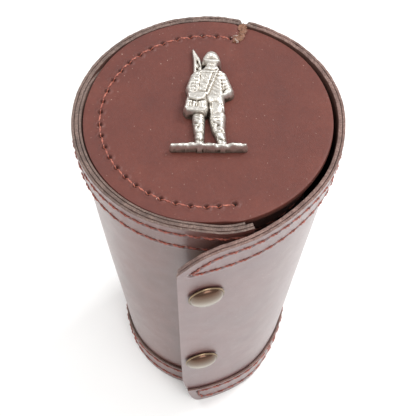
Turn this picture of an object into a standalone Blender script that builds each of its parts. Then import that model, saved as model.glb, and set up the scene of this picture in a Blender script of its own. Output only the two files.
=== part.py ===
# Snap-closed, tapered leather dice case: a round wrap-round case, wide end up,
# with a sewn lid and base, a hinged wall flap held by two press studs, a
# pewter figure riveted to the lid, and a felt-lined dice cup with its dice
# standing inside.  Metres, +Z up, -Y is the front, the base stands on z = 0.
import bpy
import bmesh
import numpy as np
from math import sin, cos, pi, radians, degrees, sqrt, atan2, asin
from mathutils import Vector, Matrix

for ob in list(bpy.data.objects):
    bpy.data.objects.remove(ob, do_unlink=True)

MM = 0.001

# ---------------------------------------------------------------- dimensions
# The case is a cone frustum.  Every leather layer of the wall is a shell at a
# constant depth ("off") below the outside of the trim bands.
HEIGHT = 126.0            # overall height
R_TOP = 40.0              # outside radius over the band at the top rim
R_BOTTOM = 29.5           # outside radius over the band at the foot
BAND_T = 0.8              # trim band thickness
PANEL_T = 1.1             # wall leather thickness
WELT_T = 0.7              # leather of the sewn angle strips (gussets)
GLUE = 0.15               # air left between two sewn layers
BAND_H = 12.4             # height of the trim bands
HINGE_AZ = 75.0           # azimuth of the fold line the flap swings about
WALL_END_AZ = 289.0       # front end of the fixed wall (= -71 degrees)
SEWN_FROM, SEWN_TO = 77.5, 286.0   # arc over which lid and base are sewn in
SEAM_GAP_DEG = 0.35       # half the gap in the sheet at the fold line

# Flap outline in plan, at the top rim: it leaves the fold line on the case's
# own circle, eases out by FLAP_EASE, and past FLAP_STRAIGHT_AZ runs flatter.
FLAP_EASE = 1.0
EASE_RUN = 70.0           # degrees over which it eases out
FLAP_STRAIGHT_AZ = -36.0
FLAP_RUN_R = 62.0         # radius of the flatter run over the studs
FLAP_END_PSI = (5.2, 8.05)  # tangent angle at the free edge: foot, rim
# Towards the foot the flap's round side is drawn in by FLAP_TUCK.  The draw
# grows and fades over these stretches of the plan curve (see flap_plan).
FLAP_TUCK = 2.6
TUCK_IN = (0.05, 0.45)
TUCK_OUT = (0.80, 1.36)
# The flap's free corners: (reach along the edge, drop or rise at the free edge,
# power of the curve).
CORNER_TOP = (16.0, 11.5, 2)
CORNER_FOOT = (6.5, 22.0, 3)

STITCH = 4.3              # stitch pitch
THREAD_R = 0.25
THREAD_LIFT = (0.06, 0.22)  # thread above the leather at a hole, and between
ROW_1, ROW_2 = 3.4, 10.6   # stitch rows, measured in from the case's ends

LID_Z = 125.4             # top face of the lid, just below the rim
LID_T = 2.2
LID_R = 36.7              # inside the welt; it grows by LID_EXTRA at the flap
LID_EXTRA = 0.85
LID_EXTRA_AZ = ((75.5, 70.0), (-73.0, -70.0))   # where the growth fades in
BASE_R = 25.1
BASE_T = 2.2
LID_SEAM_R = 31.6         # stitch circle on the lid
BASE_SEAM_R = 21.6
WELT_REACH = 3.1          # how far a gusset reaches in past its stitch circle

STUD_Z = (96.0, 42.0)     # press studs, upper and lower
STUD_X = (0.0, -1.7)
CAP_R = 5.7
POST_HOLE_R = 1.6         # holes punched for the posts of caps and studs
POST_R = 1.35
FLAT_OUT, FLAT_IN = 0.2, 0.5   # flat metal stands this far off curved leather
STUD_SHIFT = 2.4          # stud moved under the mouth of the leaning socket

CUP_Z = (4.2, 119.0)      # dice cup, foot and rim
CUP_R = (24.9, 33.2)      # its outside radius there
CUP_T = 2.0
FELT_T = 0.9
DIE = 12.0                # dice edge
DIE_CHAMFER = 1.0
PIP_STEP = 2.9            # spacing of the pips
PIP_MOUTH, PIP_BOTTOM = 1.15, 0.65   # pip radius above the face and at its bottom
PIP_RISE, PIP_SINK = 0.4, 0.6
DICE_R = 14.6             # circle on which the five dice stand
DICE_GAP = 0.1            # air under a die


def ro(z):
    """Outside radius of the case at height z."""
    return R_BOTTOM + (R_TOP - R_BOTTOM) * z / HEIGHT


def smooth(t):
    t = min(1.0, max(0.0, t))
    return t * t * (3 - 2 * t)


# ---------------------------------------------------------------- materials
def material(name, rgb, rough, metal=0.0):
    m = bpy.data.materials.new(name)
    m.use_nodes = True
    p = m.node_tree.nodes["Principled BSDF"]
    p.inputs["Base Color"].default_value = (*rgb, 1.0)
    p.inputs["Roughness"].default_value = rough
    p.inputs["Metallic"].default_value = metal
    return m


LEATHER = (0.165, 0.060, 0.045)
LEATHER_EDGE = (0.14, 0.055, 0.040)
THREAD = (0.52, 0.11, 0.055)
BRASS = (0.36, 0.25, 0.11)
PEWTER = (0.45, 0.45, 0.44)


# ---------------------------------------------------------------- mesh tools
def add(name, verts, faces, mat, smooth=True, origin=None):
    """One closed, outward-facing object in metres from millimetre vertices."""
    me = bpy.data.meshes.new(name)
    bm = bmesh.new()
    o = Vector(origin) if origin else Vector((0, 0, 0))
    vs = [bm.verts.new((Vector(v) - o) * MM) for v in verts]
    for f in faces:
        bm.faces.new([vs[i] for i in f])
    bmesh.ops.recalc_face_normals(bm, faces=bm.faces[:])
    if bm.calc_volume(signed=True) < 0:
        bmesh.ops.reverse_faces(bm, faces=bm.faces[:])
    bm.to_mesh(me)
    bm.free()
    ob = bpy.data.objects.new(name, me)
    ob.location = o * MM
    bpy.context.scene.collection.objects.link(ob)
    me.materials.append(mat)
    if smooth:
        me.shade_smooth()
        me.set_sharp_from_angle(angle=radians(35))
    return ob


def shell(name, inner, outer, mat):
    """Leather sheet between two equal grids [column][row] of points."""
    n, m = len(inner), len(inner[0])
    verts = [p for col in inner for p in col] + [p for col in outer for p in col]
    a = lambda i, j: i * m + j
    b = lambda i, j: n * m + i * m + j
    faces = []
    for i in range(n - 1):
        for j in range(m - 1):
            faces.append((a(i, j), a(i, j + 1), a(i + 1, j + 1), a(i + 1, j)))
            faces.append((b(i, j), b(i + 1, j), b(i + 1, j + 1), b(i, j + 1)))
        for j in (0, m - 1):
            q = (a(i, j), a(i + 1, j), b(i + 1, j), b(i, j))
            faces.append(q if j == 0 else q[::-1])
    for i in (0, n - 1):
        for j in range(m - 1):
            q = (a(i, j), b(i, j), b(i, j + 1), a(i, j + 1))
            faces.append(q if i == 0 else q[::-1])
    return add(name, verts, faces, mat)


def lathe(name, profile, mat, seg=48, az=None, at=(0, 0, 0), frame=None):
    """Turn a closed (r, z) profile about Z; az=(from, to) makes an open arc
    with flat ends.  frame is a 3x3 matrix whose columns are the local axes."""
    full = az is None
    a0, a1 = (0.0, 360.0) if full else az
    n = seg if full else seg + 1
    verts, idx = [], []
    for i in range(n):
        t = radians(a0 + (a1 - a0) * i / seg)
        row = []
        for (r, z) in profile:
            if r < 1e-9 and full:
                key = ("axis", z)
                hit = [k for k, v in enumerate(verts) if v[3] == key]
                if hit:
                    row.append(hit[0])
                    continue
                verts.append((0.0, 0.0, z, key))
            else:
                verts.append((r * cos(t), r * sin(t), z, None))
            row.append(len(verts) - 1)
        idx.append(row)
    faces = []
    m = len(profile)
    for i in range(seg):
        p, q = idx[i], idx[(i + 1) % n]
        for j in range(m):
            f = [p[j], q[j], q[(j + 1) % m], p[(j + 1) % m]]
            g = []
            for k in f:
                if k not in g:
                    g.append(k)
            if len(g) > 2:
                faces.append(g)
    if not full:
        faces.append(idx[0][::-1])
        faces.append(idx[-1])
    M = frame if frame is not None else Matrix.Identity(3)
    pts = [Vector(at) + M @ Vector(v[:3]) for v in verts]
    return add(name, pts, faces, mat)


def cord(name, path, r, mat, sides=4, normals=None):
    """Solid thread of radius r along a polyline, with flat ends."""
    pts = [Vector(p) for p in path]
    verts, faces = [], []
    for i, p in enumerate(pts):
        d = (pts[min(i + 1, len(pts) - 1)] - pts[max(i - 1, 0)]).normalized()
        up = Vector(normals[i]) if normals else Vector((0, 0, 1))
        e1 = (up - d * up.dot(d)).normalized()
        e2 = d.cross(e1)
        for k in range(sides):
            t = 2 * pi * (k + 0.5) / sides
            verts.append(p + (e1 * cos(t) + e2 * sin(t)) * r)
    for i in range(len(pts) - 1):
        for k in range(sides):
            a, b = i * sides + k, i * sides + (k + 1) % sides
            faces.append((a, b, b + sides, a + sides))
    faces.append(tuple(range(sides))[::-1])
    faces.append(tuple((len(pts) - 1) * sides + k for k in range(sides)))
    return add(name, verts, faces, mat)


def boolean(ob, cutter, op):
    mod = ob.modifiers.new(op.lower(), "BOOLEAN")
    mod.object = cutter
    mod.operation = op
    mod.solver = "EXACT"
    dg = bpy.context.evaluated_depsgraph_get()
    me = bpy.data.meshes.new_from_object(ob.evaluated_get(dg))
    ob.modifiers.clear()
    old = ob.data
    ob.data = me
    bpy.data.meshes.remove(old)
    bpy.data.objects.remove(cutter, do_unlink=True)
    bm = bmesh.new()
    bm.from_mesh(ob.data)
    bmesh.ops.remove_doubles(bm, verts=bm.verts[:], dist=1e-6)
    bm.to_mesh(ob.data)
    bm.free()
    return ob


# ---------------------------------------------------------------- fixed wall
def wall_pt(az, z, off):
    r = ro(z) - off
    return (r * cos(radians(az)), r * sin(radians(az)), z)


WALL_AZ = np.linspace(HINGE_AZ + SEAM_GAP_DEG, WALL_END_AZ, 48)


def wall_shell(name, z0, z1, off_in, off_out, mat):
    col = lambda off: [[wall_pt(a, z0, off), wall_pt(a, z1, off)] for a in WALL_AZ]
    return shell(name, col(off_in), col(off_out), mat)


OFF_PANEL = (BAND_T + GLUE + PANEL_T, BAND_T + GLUE)
OFF_BAND = (BAND_T, 0.0)
OFF_WELT = (OFF_PANEL[0] + GLUE + WELT_T, OFF_PANEL[0] + GLUE)

wall_panel = wall_shell("wall_panel", 0.0, HEIGHT, *OFF_PANEL,
                        material("wall_panel", LEATHER, 0.42))
wall_shell("wall_top_band", HEIGHT - BAND_H, HEIGHT, *OFF_BAND,
           material("wall_top_band", LEATHER, 0.40))
wall_shell("wall_bottom_band", 0.0, BAND_H, *OFF_BAND,
           material("wall_bottom_band", LEATHER, 0.40))

# ---------------------------------------------------------------- flap
RUN_C = (FLAP_RUN_R - R_TOP - FLAP_EASE)


def flap_plan(u):
    """Outer plan curve at the top rim and its outward normal.  u runs 0..1
    round the case's own circle, then 1..2 along the flatter run as the
    tangent angle psi falls to zero."""
    if u <= 1.0:
        az0 = HINGE_AZ - SEAM_GAP_DEG
        az = az0 + (FLAP_STRAIGHT_AZ - az0) * u
        r = R_TOP + FLAP_EASE * smooth((az0 - az) / EASE_RUN)
        a = radians(az)
        return (r * cos(a), r * sin(a)), (cos(a), sin(a))
    psi = psi_of(u)
    cx = -RUN_C * cos(radians(FLAP_STRAIGHT_AZ))
    cy = -RUN_C * sin(radians(FLAP_STRAIGHT_AZ))
    n = (sin(psi), -cos(psi))
    return (cx + FLAP_RUN_R * n[0], cy + FLAP_RUN_R * n[1]), n


PSI_0 = radians(90.0 + FLAP_STRAIGHT_AZ)


def psi_of(u):
    return PSI_0 * (2.0 - u)


def u_of_psi(psi):
    return 2.0 - psi / PSI_0


def tuck(u, z):
    """How far the flap is drawn in at plan station u and height z."""
    grow = smooth((u - TUCK_IN[0]) / (TUCK_IN[1] - TUCK_IN[0]))
    fade = smooth((TUCK_OUT[1] - u) / (TUCK_OUT[1] - TUCK_OUT[0]))
    return FLAP_TUCK * (1 - z / HEIGHT) * grow * fade


def flap_pt(u, z, off):
    (x, y), (nx, ny) = flap_plan(u)
    k = ro(z) / R_TOP
    off += tuck(u, z)
    return (x * k - nx * off, y * k - ny * off, z)


def flap_normal(u):
    n = flap_plan(u)[1]
    return Vector((n[0], n[1], -(R_TOP - R_BOTTOM) / HEIGHT)).normalized()


def edge_psi(z):
    """Tangent angle where the free edge lies at height z (a plumb edge)."""
    a, b = FLAP_END_PSI
    return radians(a + (b - a) * z / HEIGHT)


Z_EDGE_TOP = HEIGHT - CORNER_TOP[1]
Z_EDGE_FOOT = CORNER_FOOT[1]


def corner(t, shape):
    """How far the rounded corner cuts in at distance t from the free edge."""
    reach, depth, power = shape
    return depth * max(0.0, 1.0 - max(0.0, t) / reach) ** power


def flap_top(u):
    if u <= 1.0:
        return HEIGHT
    psi = psi_of(u)
    pe = edge_psi(Z_EDGE_TOP)
    if psi >= pe:
        return HEIGHT - corner((psi - pe) * FLAP_RUN_R, CORNER_TOP)
    a, b = (radians(v) for v in FLAP_END_PSI)
    return (psi - a) / (b - a) * HEIGHT


def flap_foot(u):
    if u <= 1.0:
        return 0.0
    pe = edge_psi(Z_EDGE_FOOT)
    t = (psi_of(u) - pe) * FLAP_RUN_R * ro(Z_EDGE_FOOT) / R_TOP
    return corner(t, CORNER_FOOT)


_t = [16.0, 12.0, 8.4, 5.9, 4.1, 2.6, 1.3, 0.0]
_pe = edge_psi(Z_EDGE_TOP)
_end_psi = edge_psi(Z_EDGE_FOOT + 2.5)
FLAP_U = list(np.linspace(0.0, 1.0, 26)) + \
    list(u_of_psi(p) for p in np.linspace(PSI_0, _pe + _t[0] / FLAP_RUN_R, 8)[1:]) + \
    list(u_of_psi(_pe + t / FLAP_RUN_R) for t in _t[1:]) + \
    [u_of_psi(_pe + (_end_psi - _pe) * f) for f in (0.38, 0.72, 1.0)]


def flap_shell(name, lo, hi, off_in, off_out, mat, us=None):
    us = us or FLAP_U
    col = lambda off: [[flap_pt(u, lo(u), off), flap_pt(u, hi(u), off)] for u in us]
    return shell(name, col(off_in), col(off_out), mat)


flap_panel = flap_shell("flap_panel", flap_foot, flap_top, *OFF_PANEL,
                        material("flap_panel", LEATHER, 0.42))
# The bands keep a level inner edge, so the rounded corners bring them to a
# point just short of the free edge.
_ub = [u for u in FLAP_U if flap_top(u) > HEIGHT - BAND_H + 0.9]
flap_shell("flap_top_band", lambda u: HEIGHT - BAND_H, flap_top, *OFF_BAND,
           material("flap_top_band", LEATHER, 0.40), _ub)
_ub = [u for u in FLAP_U if flap_foot(u) < BAND_H - 0.9]
flap_shell("flap_bottom_band", flap_foot, lambda u: BAND_H, *OFF_BAND,
           material("flap_bottom_band", LEATHER, 0.40), _ub)


# ---------------------------------------------------------------- lid and base
def plate(name, r, z0, z1, holes, groove, mat, seg=72):
    prof = [(0, z0), (r - 0.25, z0), (r, z0 + 0.25), (r, z1 - 0.25), (r - 0.25, z1), (0, z1)]
    if groove:
        g, w, d = groove
        prof = [(0, z0), (g - w, z0), (g - w, z0 + d), (g + w, z0 + d), (g + w, z0)] + prof[1:]
    ob = lathe(name, prof, mat, seg)
    for (x, y, hr) in holes:
        c = lathe("cut", [(0, z0 - 2), (hr, z0 - 2), (hr, z1 + 2), (0, z1 + 2)], mat, 16, at=(x, y, 0))
        boolean(ob, c, "DIFFERENCE")
    return ob


PIN_XY = ((0.6, -13.1), (0.2, 9.0))    # the figure's two fixing pins
PIN_R = 0.9
lid = plate("lid_disc", LID_R, LID_Z - LID_T, LID_Z,
            [(x, y, PIN_R + 0.2) for x, y in PIN_XY], None,
            material("lid_disc", (0.19, 0.070, 0.050), 0.38))
# Beyond the welt, under the flap's rim, the lid is cut a little wider.
for v in lid.data.vertices:
    r, az = v.co.to_2d().length / MM, degrees(atan2(v.co.y, v.co.x))
    if r > LID_R - 1.0:
        g = min(smooth((a - az) / (a - b)) for a, b in LID_EXTRA_AZ)
        v.co.xy *= 1 + LID_EXTRA * g / r
plate("base_disc", BASE_R, 0.0, BASE_T, [], (BASE_SEAM_R, 0.8, 0.7),
      material("base_disc", LEATHER, 0.5))

z_in, z_leg = LID_Z - LID_T - GLUE - 0.8, LID_Z - LID_T - GLUE
lathe("lid_gusset",
      [(LID_SEAM_R - WELT_REACH, z_in), (ro(z_in) - OFF_WELT[1], z_in),
       (R_TOP - OFF_WELT[1], HEIGHT), (R_TOP - OFF_WELT[0], HEIGHT),
       (ro(z_leg) - OFF_WELT[0], z_leg), (LID_SEAM_R - WELT_REACH, z_leg)],
      material("lid_gusset", LEATHER_EDGE, 0.55), 46, az=(SEWN_FROM, SEWN_TO))
z_leg, z_in = BASE_T + GLUE, BASE_T + GLUE + 0.8
lathe("base_gusset",
      [(BASE_SEAM_R - WELT_REACH, z_leg), (ro(z_leg) - OFF_WELT[0], z_leg),
       (R_BOTTOM - OFF_WELT[0], 0.0), (R_BOTTOM - OFF_WELT[1], 0.0),
       (ro(z_in) - OFF_WELT[1], z_in), (BASE_SEAM_R - WELT_REACH, z_in)],
      material("base_gusset", LEATHER_EDGE, 0.55), 46, az=(SEWN_FROM, SEWN_TO))


# ---------------------------------------------------------------- threads
def stitched(name, length, point, normal, mat):
    """Thread lying along a seam: point(s) gives the leather surface at arc
    length s.  It lies low at each needle hole and stands up between them."""
    n = max(2, int(round(length / STITCH))) * 2
    path, nor = [], []
    for i in range(n + 1):
        s = length * i / n
        p, q = Vector(point(s)), Vector(normal(s))
        path.append(p + q * (THREAD_R + THREAD_LIFT[i % 2]))
        nor.append(q)
    return cord(name, path, THREAD_R, mat, 4, nor)


def wall_u_seam(name, outer_row, inner_row, mat):
    """Two rows on a fixed-wall band joined across the front end of the band."""
    a0, a1 = HINGE_AZ + 2.2, WALL_END_AZ - 3.4
    l1 = radians(a1 - a0) * ro(outer_row)
    lv = abs(inner_row - outer_row)
    l2 = radians(a1 - a0) * ro(inner_row)

    def at(s):
        if s <= l1:
            return a0 + (a1 - a0) * s / l1, outer_row
        if s <= l1 + lv:
            return a1, outer_row + (inner_row - outer_row) * (s - l1) / lv
        return a1 - (a1 - a0) * (s - l1 - lv) / l2, inner_row
    nrm = lambda s: Vector((cos(radians(at(s)[0])), sin(radians(at(s)[0])),
                            -(R_TOP - R_BOTTOM) / HEIGHT)).normalized()
    return stitched(name, l1 + lv + l2, lambda s: wall_pt(*at(s), 0.0), nrm, mat)


wall_u_seam("wall_top_thread", HEIGHT - ROW_1, HEIGHT - ROW_2, material("wall_top_thread", THREAD, 0.6))
wall_u_seam("wall_bottom_thread", ROW_1, ROW_2, material("wall_bottom_thread", THREAD, 0.6))


def flap_u_seam(name, top, mat):
    """The same on a flap band; the outer row follows the rounded corner until
    it comes down to the inner row."""
    shape = CORNER_TOP if top else CORNER_FOOT
    pe = edge_psi(Z_EDGE_TOP if top else Z_EDGE_FOOT)
    k = 1.0 if top else ro(Z_EDGE_FOOT) / R_TOP
    z = (lambda d: HEIGHT - d) if top else (lambda d: d)
    us = list(np.linspace(0.016, 1.0, 60))
    pts = [(u, ROW_1) for u in us]
    t_start = (PSI_0 - pe) * FLAP_RUN_R * k
    t_last, e = t_start, 0.01
    for t in np.linspace(t_start, 0.0, 160)[1:]:
        slope = (corner(t + e, shape) - corner(max(0.0, t - e), shape)) / (e + min(t, e))
        w = ROW_1 / sqrt(1 + slope * slope)
        tt, d = t - slope * w, corner(t, shape) + w
        if d > ROW_2 - 0.7:
            break
        t_last = tt
        pts.append((u_of_psi(pe + tt / (FLAP_RUN_R * k)), d))
    t_last += 0.4
    back = [(u, ROW_2) for (u, d) in reversed(pts) if u < u_of_psi(pe + t_last / (FLAP_RUN_R * k))]
    pts = pts + back
    P = [Vector(flap_pt(u, z(d), 0.0)) for u, d in pts]
    S = [0.0]
    for a, b in zip(P, P[1:]):
        S.append(S[-1] + (b - a).length)

    def at(s):
        i = min(max(int(np.searchsorted(S, s)) - 1, 0), len(S) - 2)
        f = min(1.0, max(0.0, (s - S[i]) / max(1e-9, S[i + 1] - S[i])))
        return (pts[i][0] * (1 - f) + pts[i + 1][0] * f, pts[i][1] * (1 - f) + pts[i + 1][1] * f)
    return stitched(name, S[-1], lambda s: flap_pt(at(s)[0], z(at(s)[1]), 0.0),
                    lambda s: flap_normal(at(s)[0]), mat)


flap_u_seam("flap_top_thread", True, material("flap_top_thread", THREAD, 0.6))
flap_u_seam("flap_bottom_thread", False, material("flap_bottom_thread", THREAD, 0.6))


def ring_seam(name, r, z, up, mat):
    """Large hand stitches that hold the lid or base to its gusset."""
    a0, a1 = SEWN_FROM + 0.5, SEWN_TO - 2.0
    L = radians(a1 - a0) * r
    at = lambda s: radians(a0 + (a1 - a0) * s / L)
    return stitched(name, L, lambda s: (r * cos(at(s)), r * sin(at(s)), z),
                    lambda s: (0, 0, up), mat)


ring_seam("lid_thread", LID_SEAM_R, LID_Z, 1, material("lid_thread", THREAD, 0.6))
ring_seam("base_thread", BASE_SEAM_R, 0.7, -1, material("base_thread", THREAD, 0.6))


# ---------------------------------------------------------------- press studs
def frame_along(n):
    """Axes for a part turned about the outward normal n."""
    n = Vector(n).normalized()
    x = Vector((0, 0, 1)).cross(n).normalized()
    return Matrix((x, n.cross(x), n)).transposed()


def u_at(x, z):
    k = ro(z) / R_TOP
    cx = -RUN_C * cos(radians(FLAP_STRAIGHT_AZ))
    return u_of_psi(asin((x / k - cx) / FLAP_RUN_R))


def hole(ob, p, n, r):
    c = lathe("cut", [(0, -4), (r, -4), (r, 4), (0, 4)], ob.data.materials[0], 16,
              at=p, frame=frame_along(n))
    boolean(ob, c, "DIFFERENCE")


for tag, z, x in zip(("upper", "lower"), STUD_Z, STUD_X):
    u = u_at(x, z)
    n = flap_normal(u)
    F = frame_along(n)
    outer = Vector(flap_pt(u, z, OFF_PANEL[1]))     # outside of the flap leather
    inner = Vector(flap_pt(u, z, OFF_PANEL[0]))
    hole(flap_panel, (outer + inner) / 2, n, POST_HOLE_R)
    g, h = FLAT_OUT, FLAT_IN
    # Cap: rolled rim, domed crown and a hollow post through the leather.
    cap = [(0, 2.75), (1.6, 2.65), (3.1, 2.3), (4.1, 1.75), (4.45, 1.35), (4.85, 1.45),
           (5.3, 1.35), (CAP_R, 0.95), (CAP_R, 0.55), (5.45, g), (POST_R, g),
           (POST_R, -PANEL_T - 0.9), (0, -PANEL_T - 0.9)]
    lathe("cap_" + tag, cap, material("cap_" + tag, BRASS, 0.35, 1.0), 32, at=outer, frame=F)
    # Socket: flanged ring under the leather, open towards the stud.
    soc = [(1.6, -h), (4.9, -h), (4.9, -h - 0.4), (4.4, -h - 0.6), (4.3, -2.7), (4.0, -3.0),
           (3.3, -3.0), (3.1, -2.7), (3.1, -h - 0.5), (1.6, -h - 0.5)]
    lathe("socket_" + tag, soc, material("socket_" + tag, BRASS, 0.3, 1.0), 28, at=inner, frame=F)
    # Stud on the fixed wall, and the rivet that holds it from inside.
    # It sits under the socket's mouth, where the tilted socket axis arrives.
    x -= n.x * STUD_SHIFT
    az = degrees(atan2(-sqrt(ro(z) ** 2 - x * x), x)) + 360.0
    wn = Vector((cos(radians(az)), sin(radians(az)), -(R_TOP - R_BOTTOM) / HEIGHT)).normalized()
    W = frame_along(wn)
    w_out, w_in = Vector(wall_pt(az, z, OFF_PANEL[1])), Vector(wall_pt(az, z, OFF_PANEL[0]))
    hole(wall_panel, (w_out + w_in) / 2, wn, POST_HOLE_R)
    stud = [(0, 3.9), (1.2, 3.8), (1.8, 3.35), (1.8, 3.0), (1.45, 2.4), (1.6, 1.3),
            (4.0, 1.0), (4.5, 0.7), (4.5, g), (0, g)]
    lathe("stud_" + tag, stud, material("stud_" + tag, BRASS, 0.3, 1.0), 28, at=w_out, frame=W)
    riv = [(0, PANEL_T), (POST_R, PANEL_T), (POST_R, -h), (4.2, -h), (4.4, -h - 0.25), (4.0, -h - 0.5), (0, -h - 0.6)]
    lathe("rivet_" + tag, riv, material("rivet_" + tag, BRASS, 0.35, 1.0), 24, at=w_in, frame=W)


# ---------------------------------------------------------------- lid figure
def blob(c, r, seg=10, rings=6):
    """Closed ellipsoid, centre c and radii r, in millimetres."""
    verts, faces = [], []
    for i in range(1, rings):
        th = pi * i / rings
        for k in range(seg):
            ph = 2 * pi * k / seg
            verts.append((c[0] + r[0] * sin(th) * cos(ph), c[1] + r[1] * sin(th) * sin(ph), c[2] + r[2] * cos(th)))
    verts += [(c[0], c[1], c[2] + r[2]), (c[0], c[1], c[2] - r[2])]
    t, b = len(verts) - 2, len(verts) - 1
    for k in range(seg):
        faces.append((t, k, (k + 1) % seg))
        last = (rings - 2) * seg
        faces.append((b, last + (k + 1) % seg, last + k))
        for i in range(rings - 2):
            a, q = i * seg + k, i * seg + (k + 1) % seg
            faces.append((a, a + seg, q + seg, q))
    return verts, faces


def limb(p, q, rp, rq, seg=8):
    """Closed tapered bar from p to q."""
    p, q = Vector(p), Vector(q)
    d = (q - p).normalized()
    e1 = d.orthogonal().normalized()
    e2 = d.cross(e1)
    verts = []
    for c, r in ((p - d * rp * 0.45, rp * 0.55), (p, rp), (q, rq), (q + d * rq * 0.45, rq * 0.55)):
        for k in range(seg):
            t = 2 * pi * (k + 0.37) / seg
            verts.append(c + (e1 * cos(t) + e2 * sin(t)) * r)
    faces = [tuple(range(seg))[::-1], tuple(3 * seg + k for k in range(seg))]
    for i in range(3):
        for k in range(seg):
            a, b = i * seg + k, i * seg + (k + 1) % seg
            faces.append((a, b, b + seg, a + seg))
    return verts, faces


PEW = material("badge_figure", PEWTER, 0.35, 1.0)
Z0 = LID_Z
figure_parts = [
    limb((-9.2, -13.2, Z0 + 1.4), (10.2, -13.0, Z0 + 1.3), 1.9, 1.7),      # ground bar
    limb((-2.6, -12.0, Z0 + 1.7), (-2.2, -1.0, Z0 + 2.1), 2.1, 2.9),       # legs
    limb((3.9, -12.0, Z0 + 1.7), (2.4, -1.0, Z0 + 2.2), 2.1, 2.9),
    blob((0.1, 5.8, Z0 + 2.0), (5.7, 8.6, 3.0)),                           # coat
    blob((0.2, 11.0, Z0 + 2.1), (6.4, 4.2, 2.6)),                          # shoulders
    limb((5.2, 11.0, Z0 + 2.0), (9.2, 5.2, Z0 + 2.0), 2.0, 1.7),           # right arm
    limb((9.0, 5.2, Z0 + 2.0), (4.2, 2.6, Z0 + 2.6), 1.6, 1.3),
    limb((-5.0, 11.0, Z0 + 2.0), (-7.2, 5.4, Z0 + 1.8), 2.0, 1.6),         # left arm
    blob((-5.2, 1.4, Z0 + 2.3), (3.1, 3.4, 2.4)),                          # satchel
    blob((0.6, 17.0, Z0 + 2.3), (2.9, 3.3, 2.6)),                          # head
    blob((0.6, 18.0, Z0 + 2.4), (4.3, 1.7, 1.9)),                          # hat brim
    blob((0.6, 19.8, Z0 + 2.3), (2.9, 2.6, 2.3)),                          # hat crown
    limb((-2.2, 8.0, Z0 + 3.6), (-4.4, 23.0, Z0 + 2.0), 0.95, 0.8, 6),     # gun barrel
]
badge = None
for v, f in figure_parts:
    if badge is None:
        badge = add("badge_figure", v, f, PEW)
    else:
        boolean(badge, add("piece", v, f, PEW), "UNION")
slab = lathe("cut", [(0, Z0 - 12), (40, Z0 - 12), (40, Z0 + 0.15), (0, Z0 + 0.15)], PEW, 24)
boolean(badge, slab, "DIFFERENCE")
for (x, y) in PIN_XY:
    pin = lathe("pin", [(0, Z0 + 1.0), (PIN_R, Z0 + 1.0), (PIN_R, Z0 - LID_T - 1.6), (0, Z0 - LID_T - 1.6)],
                PEW, 12, at=(x, y, 0))
    boolean(badge, pin, "UNION")
badge.data.shade_smooth()
badge.data.set_sharp_from_angle(angle=radians(40))
for tag, (x, y) in zip(("front", "rear"), PIN_XY):
    zc = LID_Z - LID_T - 0.2
    lathe("badge_clutch_" + tag,
          [(PIN_R + 0.12, zc), (3.2, zc), (3.4, zc - 0.3), (3.2, zc - 0.8), (1.9, zc - 1.1), (PIN_R + 0.12, zc - 1.1)],
          material("badge_clutch_" + tag, (0.5, 0.48, 0.44), 0.4, 1.0), 20, at=(x, y, 0))


# ---------------------------------------------------------------- dice cup
def cr(z):
    return CUP_R[0] + (CUP_R[1] - CUP_R[0]) * (z - CUP_Z[0]) / (CUP_Z[1] - CUP_Z[0])


def tube(name, z0, z1, o_in, o_out, mat, seg=48):
    prof = [(cr(z0) - o_in, z0), (cr(z0) - o_out, z0), (cr(z1) - o_out, z1), (cr(z1) - o_in, z1)]
    return lathe(name, prof, mat, seg)


tube("cup_wall", CUP_Z[0], CUP_Z[1] - 0.9, CUP_T, 0.0, material("cup_wall", (0.09, 0.045, 0.03), 0.5))
fl = CUP_Z[0] + 2.0
lathe("cup_base", [(0, CUP_Z[0]), (cr(CUP_Z[0]) - CUP_T - 0.2, CUP_Z[0]),
                   (cr(CUP_Z[0]) - CUP_T - 0.2, fl), (0, fl)],
      material("cup_base", (0.09, 0.045, 0.03), 0.6), 48)
lathe("cup_floor_felt", [(0, fl + 0.15), (cr(fl) - CUP_T - 0.25, fl + 0.15),
                         (cr(fl) - CUP_T - 0.25, fl + 0.15 + FELT_T), (0, fl + 0.15 + FELT_T)],
      material("cup_floor_felt", (0.02, 0.09, 0.045), 0.95), 48)
FLOOR = fl + 0.15 + FELT_T
tube("cup_lining", FLOOR + 0.2, CUP_Z[1] - 12.2, CUP_T + 0.15 + FELT_T, CUP_T + 0.15,
     material("cup_lining", (0.02, 0.09, 0.045), 0.95))
# Folded leather binding over the cup's rim.
zb, zt = CUP_Z[1] - 9.0, CUP_Z[1]
zi = CUP_Z[1] - 0.9 + 0.15
lathe("cup_rim_binding",
      [(cr(zb) + 0.15, zb), (cr(zb) + 0.85, zb), (cr(zt) + 0.80, zt - 0.35), (cr(zt) + 0.35, zt + 0.05),
       (cr(zt) - CUP_T - 0.35, zt + 0.05), (cr(zt) - CUP_T - 0.85, zt - 0.35), (cr(zb) - CUP_T - 0.85, zb),
       (cr(zb) - CUP_T - 0.15, zb), (cr(zi) - CUP_T - 0.15, zi), (cr(zi) + 0.15, zi)],
      material("cup_rim_binding", (0.12, 0.05, 0.035), 0.45), 48)


# ---------------------------------------------------------------- dice
PIPS = {1: [(0, 0)], 2: [(-1, -1), (1, 1)], 3: [(-1, -1), (0, 0), (1, 1)],
        4: [(-1, -1), (-1, 1), (1, -1), (1, 1)],
        5: [(-1, -1), (-1, 1), (0, 0), (1, -1), (1, 1)],
        6: [(-1, -1), (-1, 0), (-1, 1), (1, -1), (1, 0), (1, 1)]}


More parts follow.
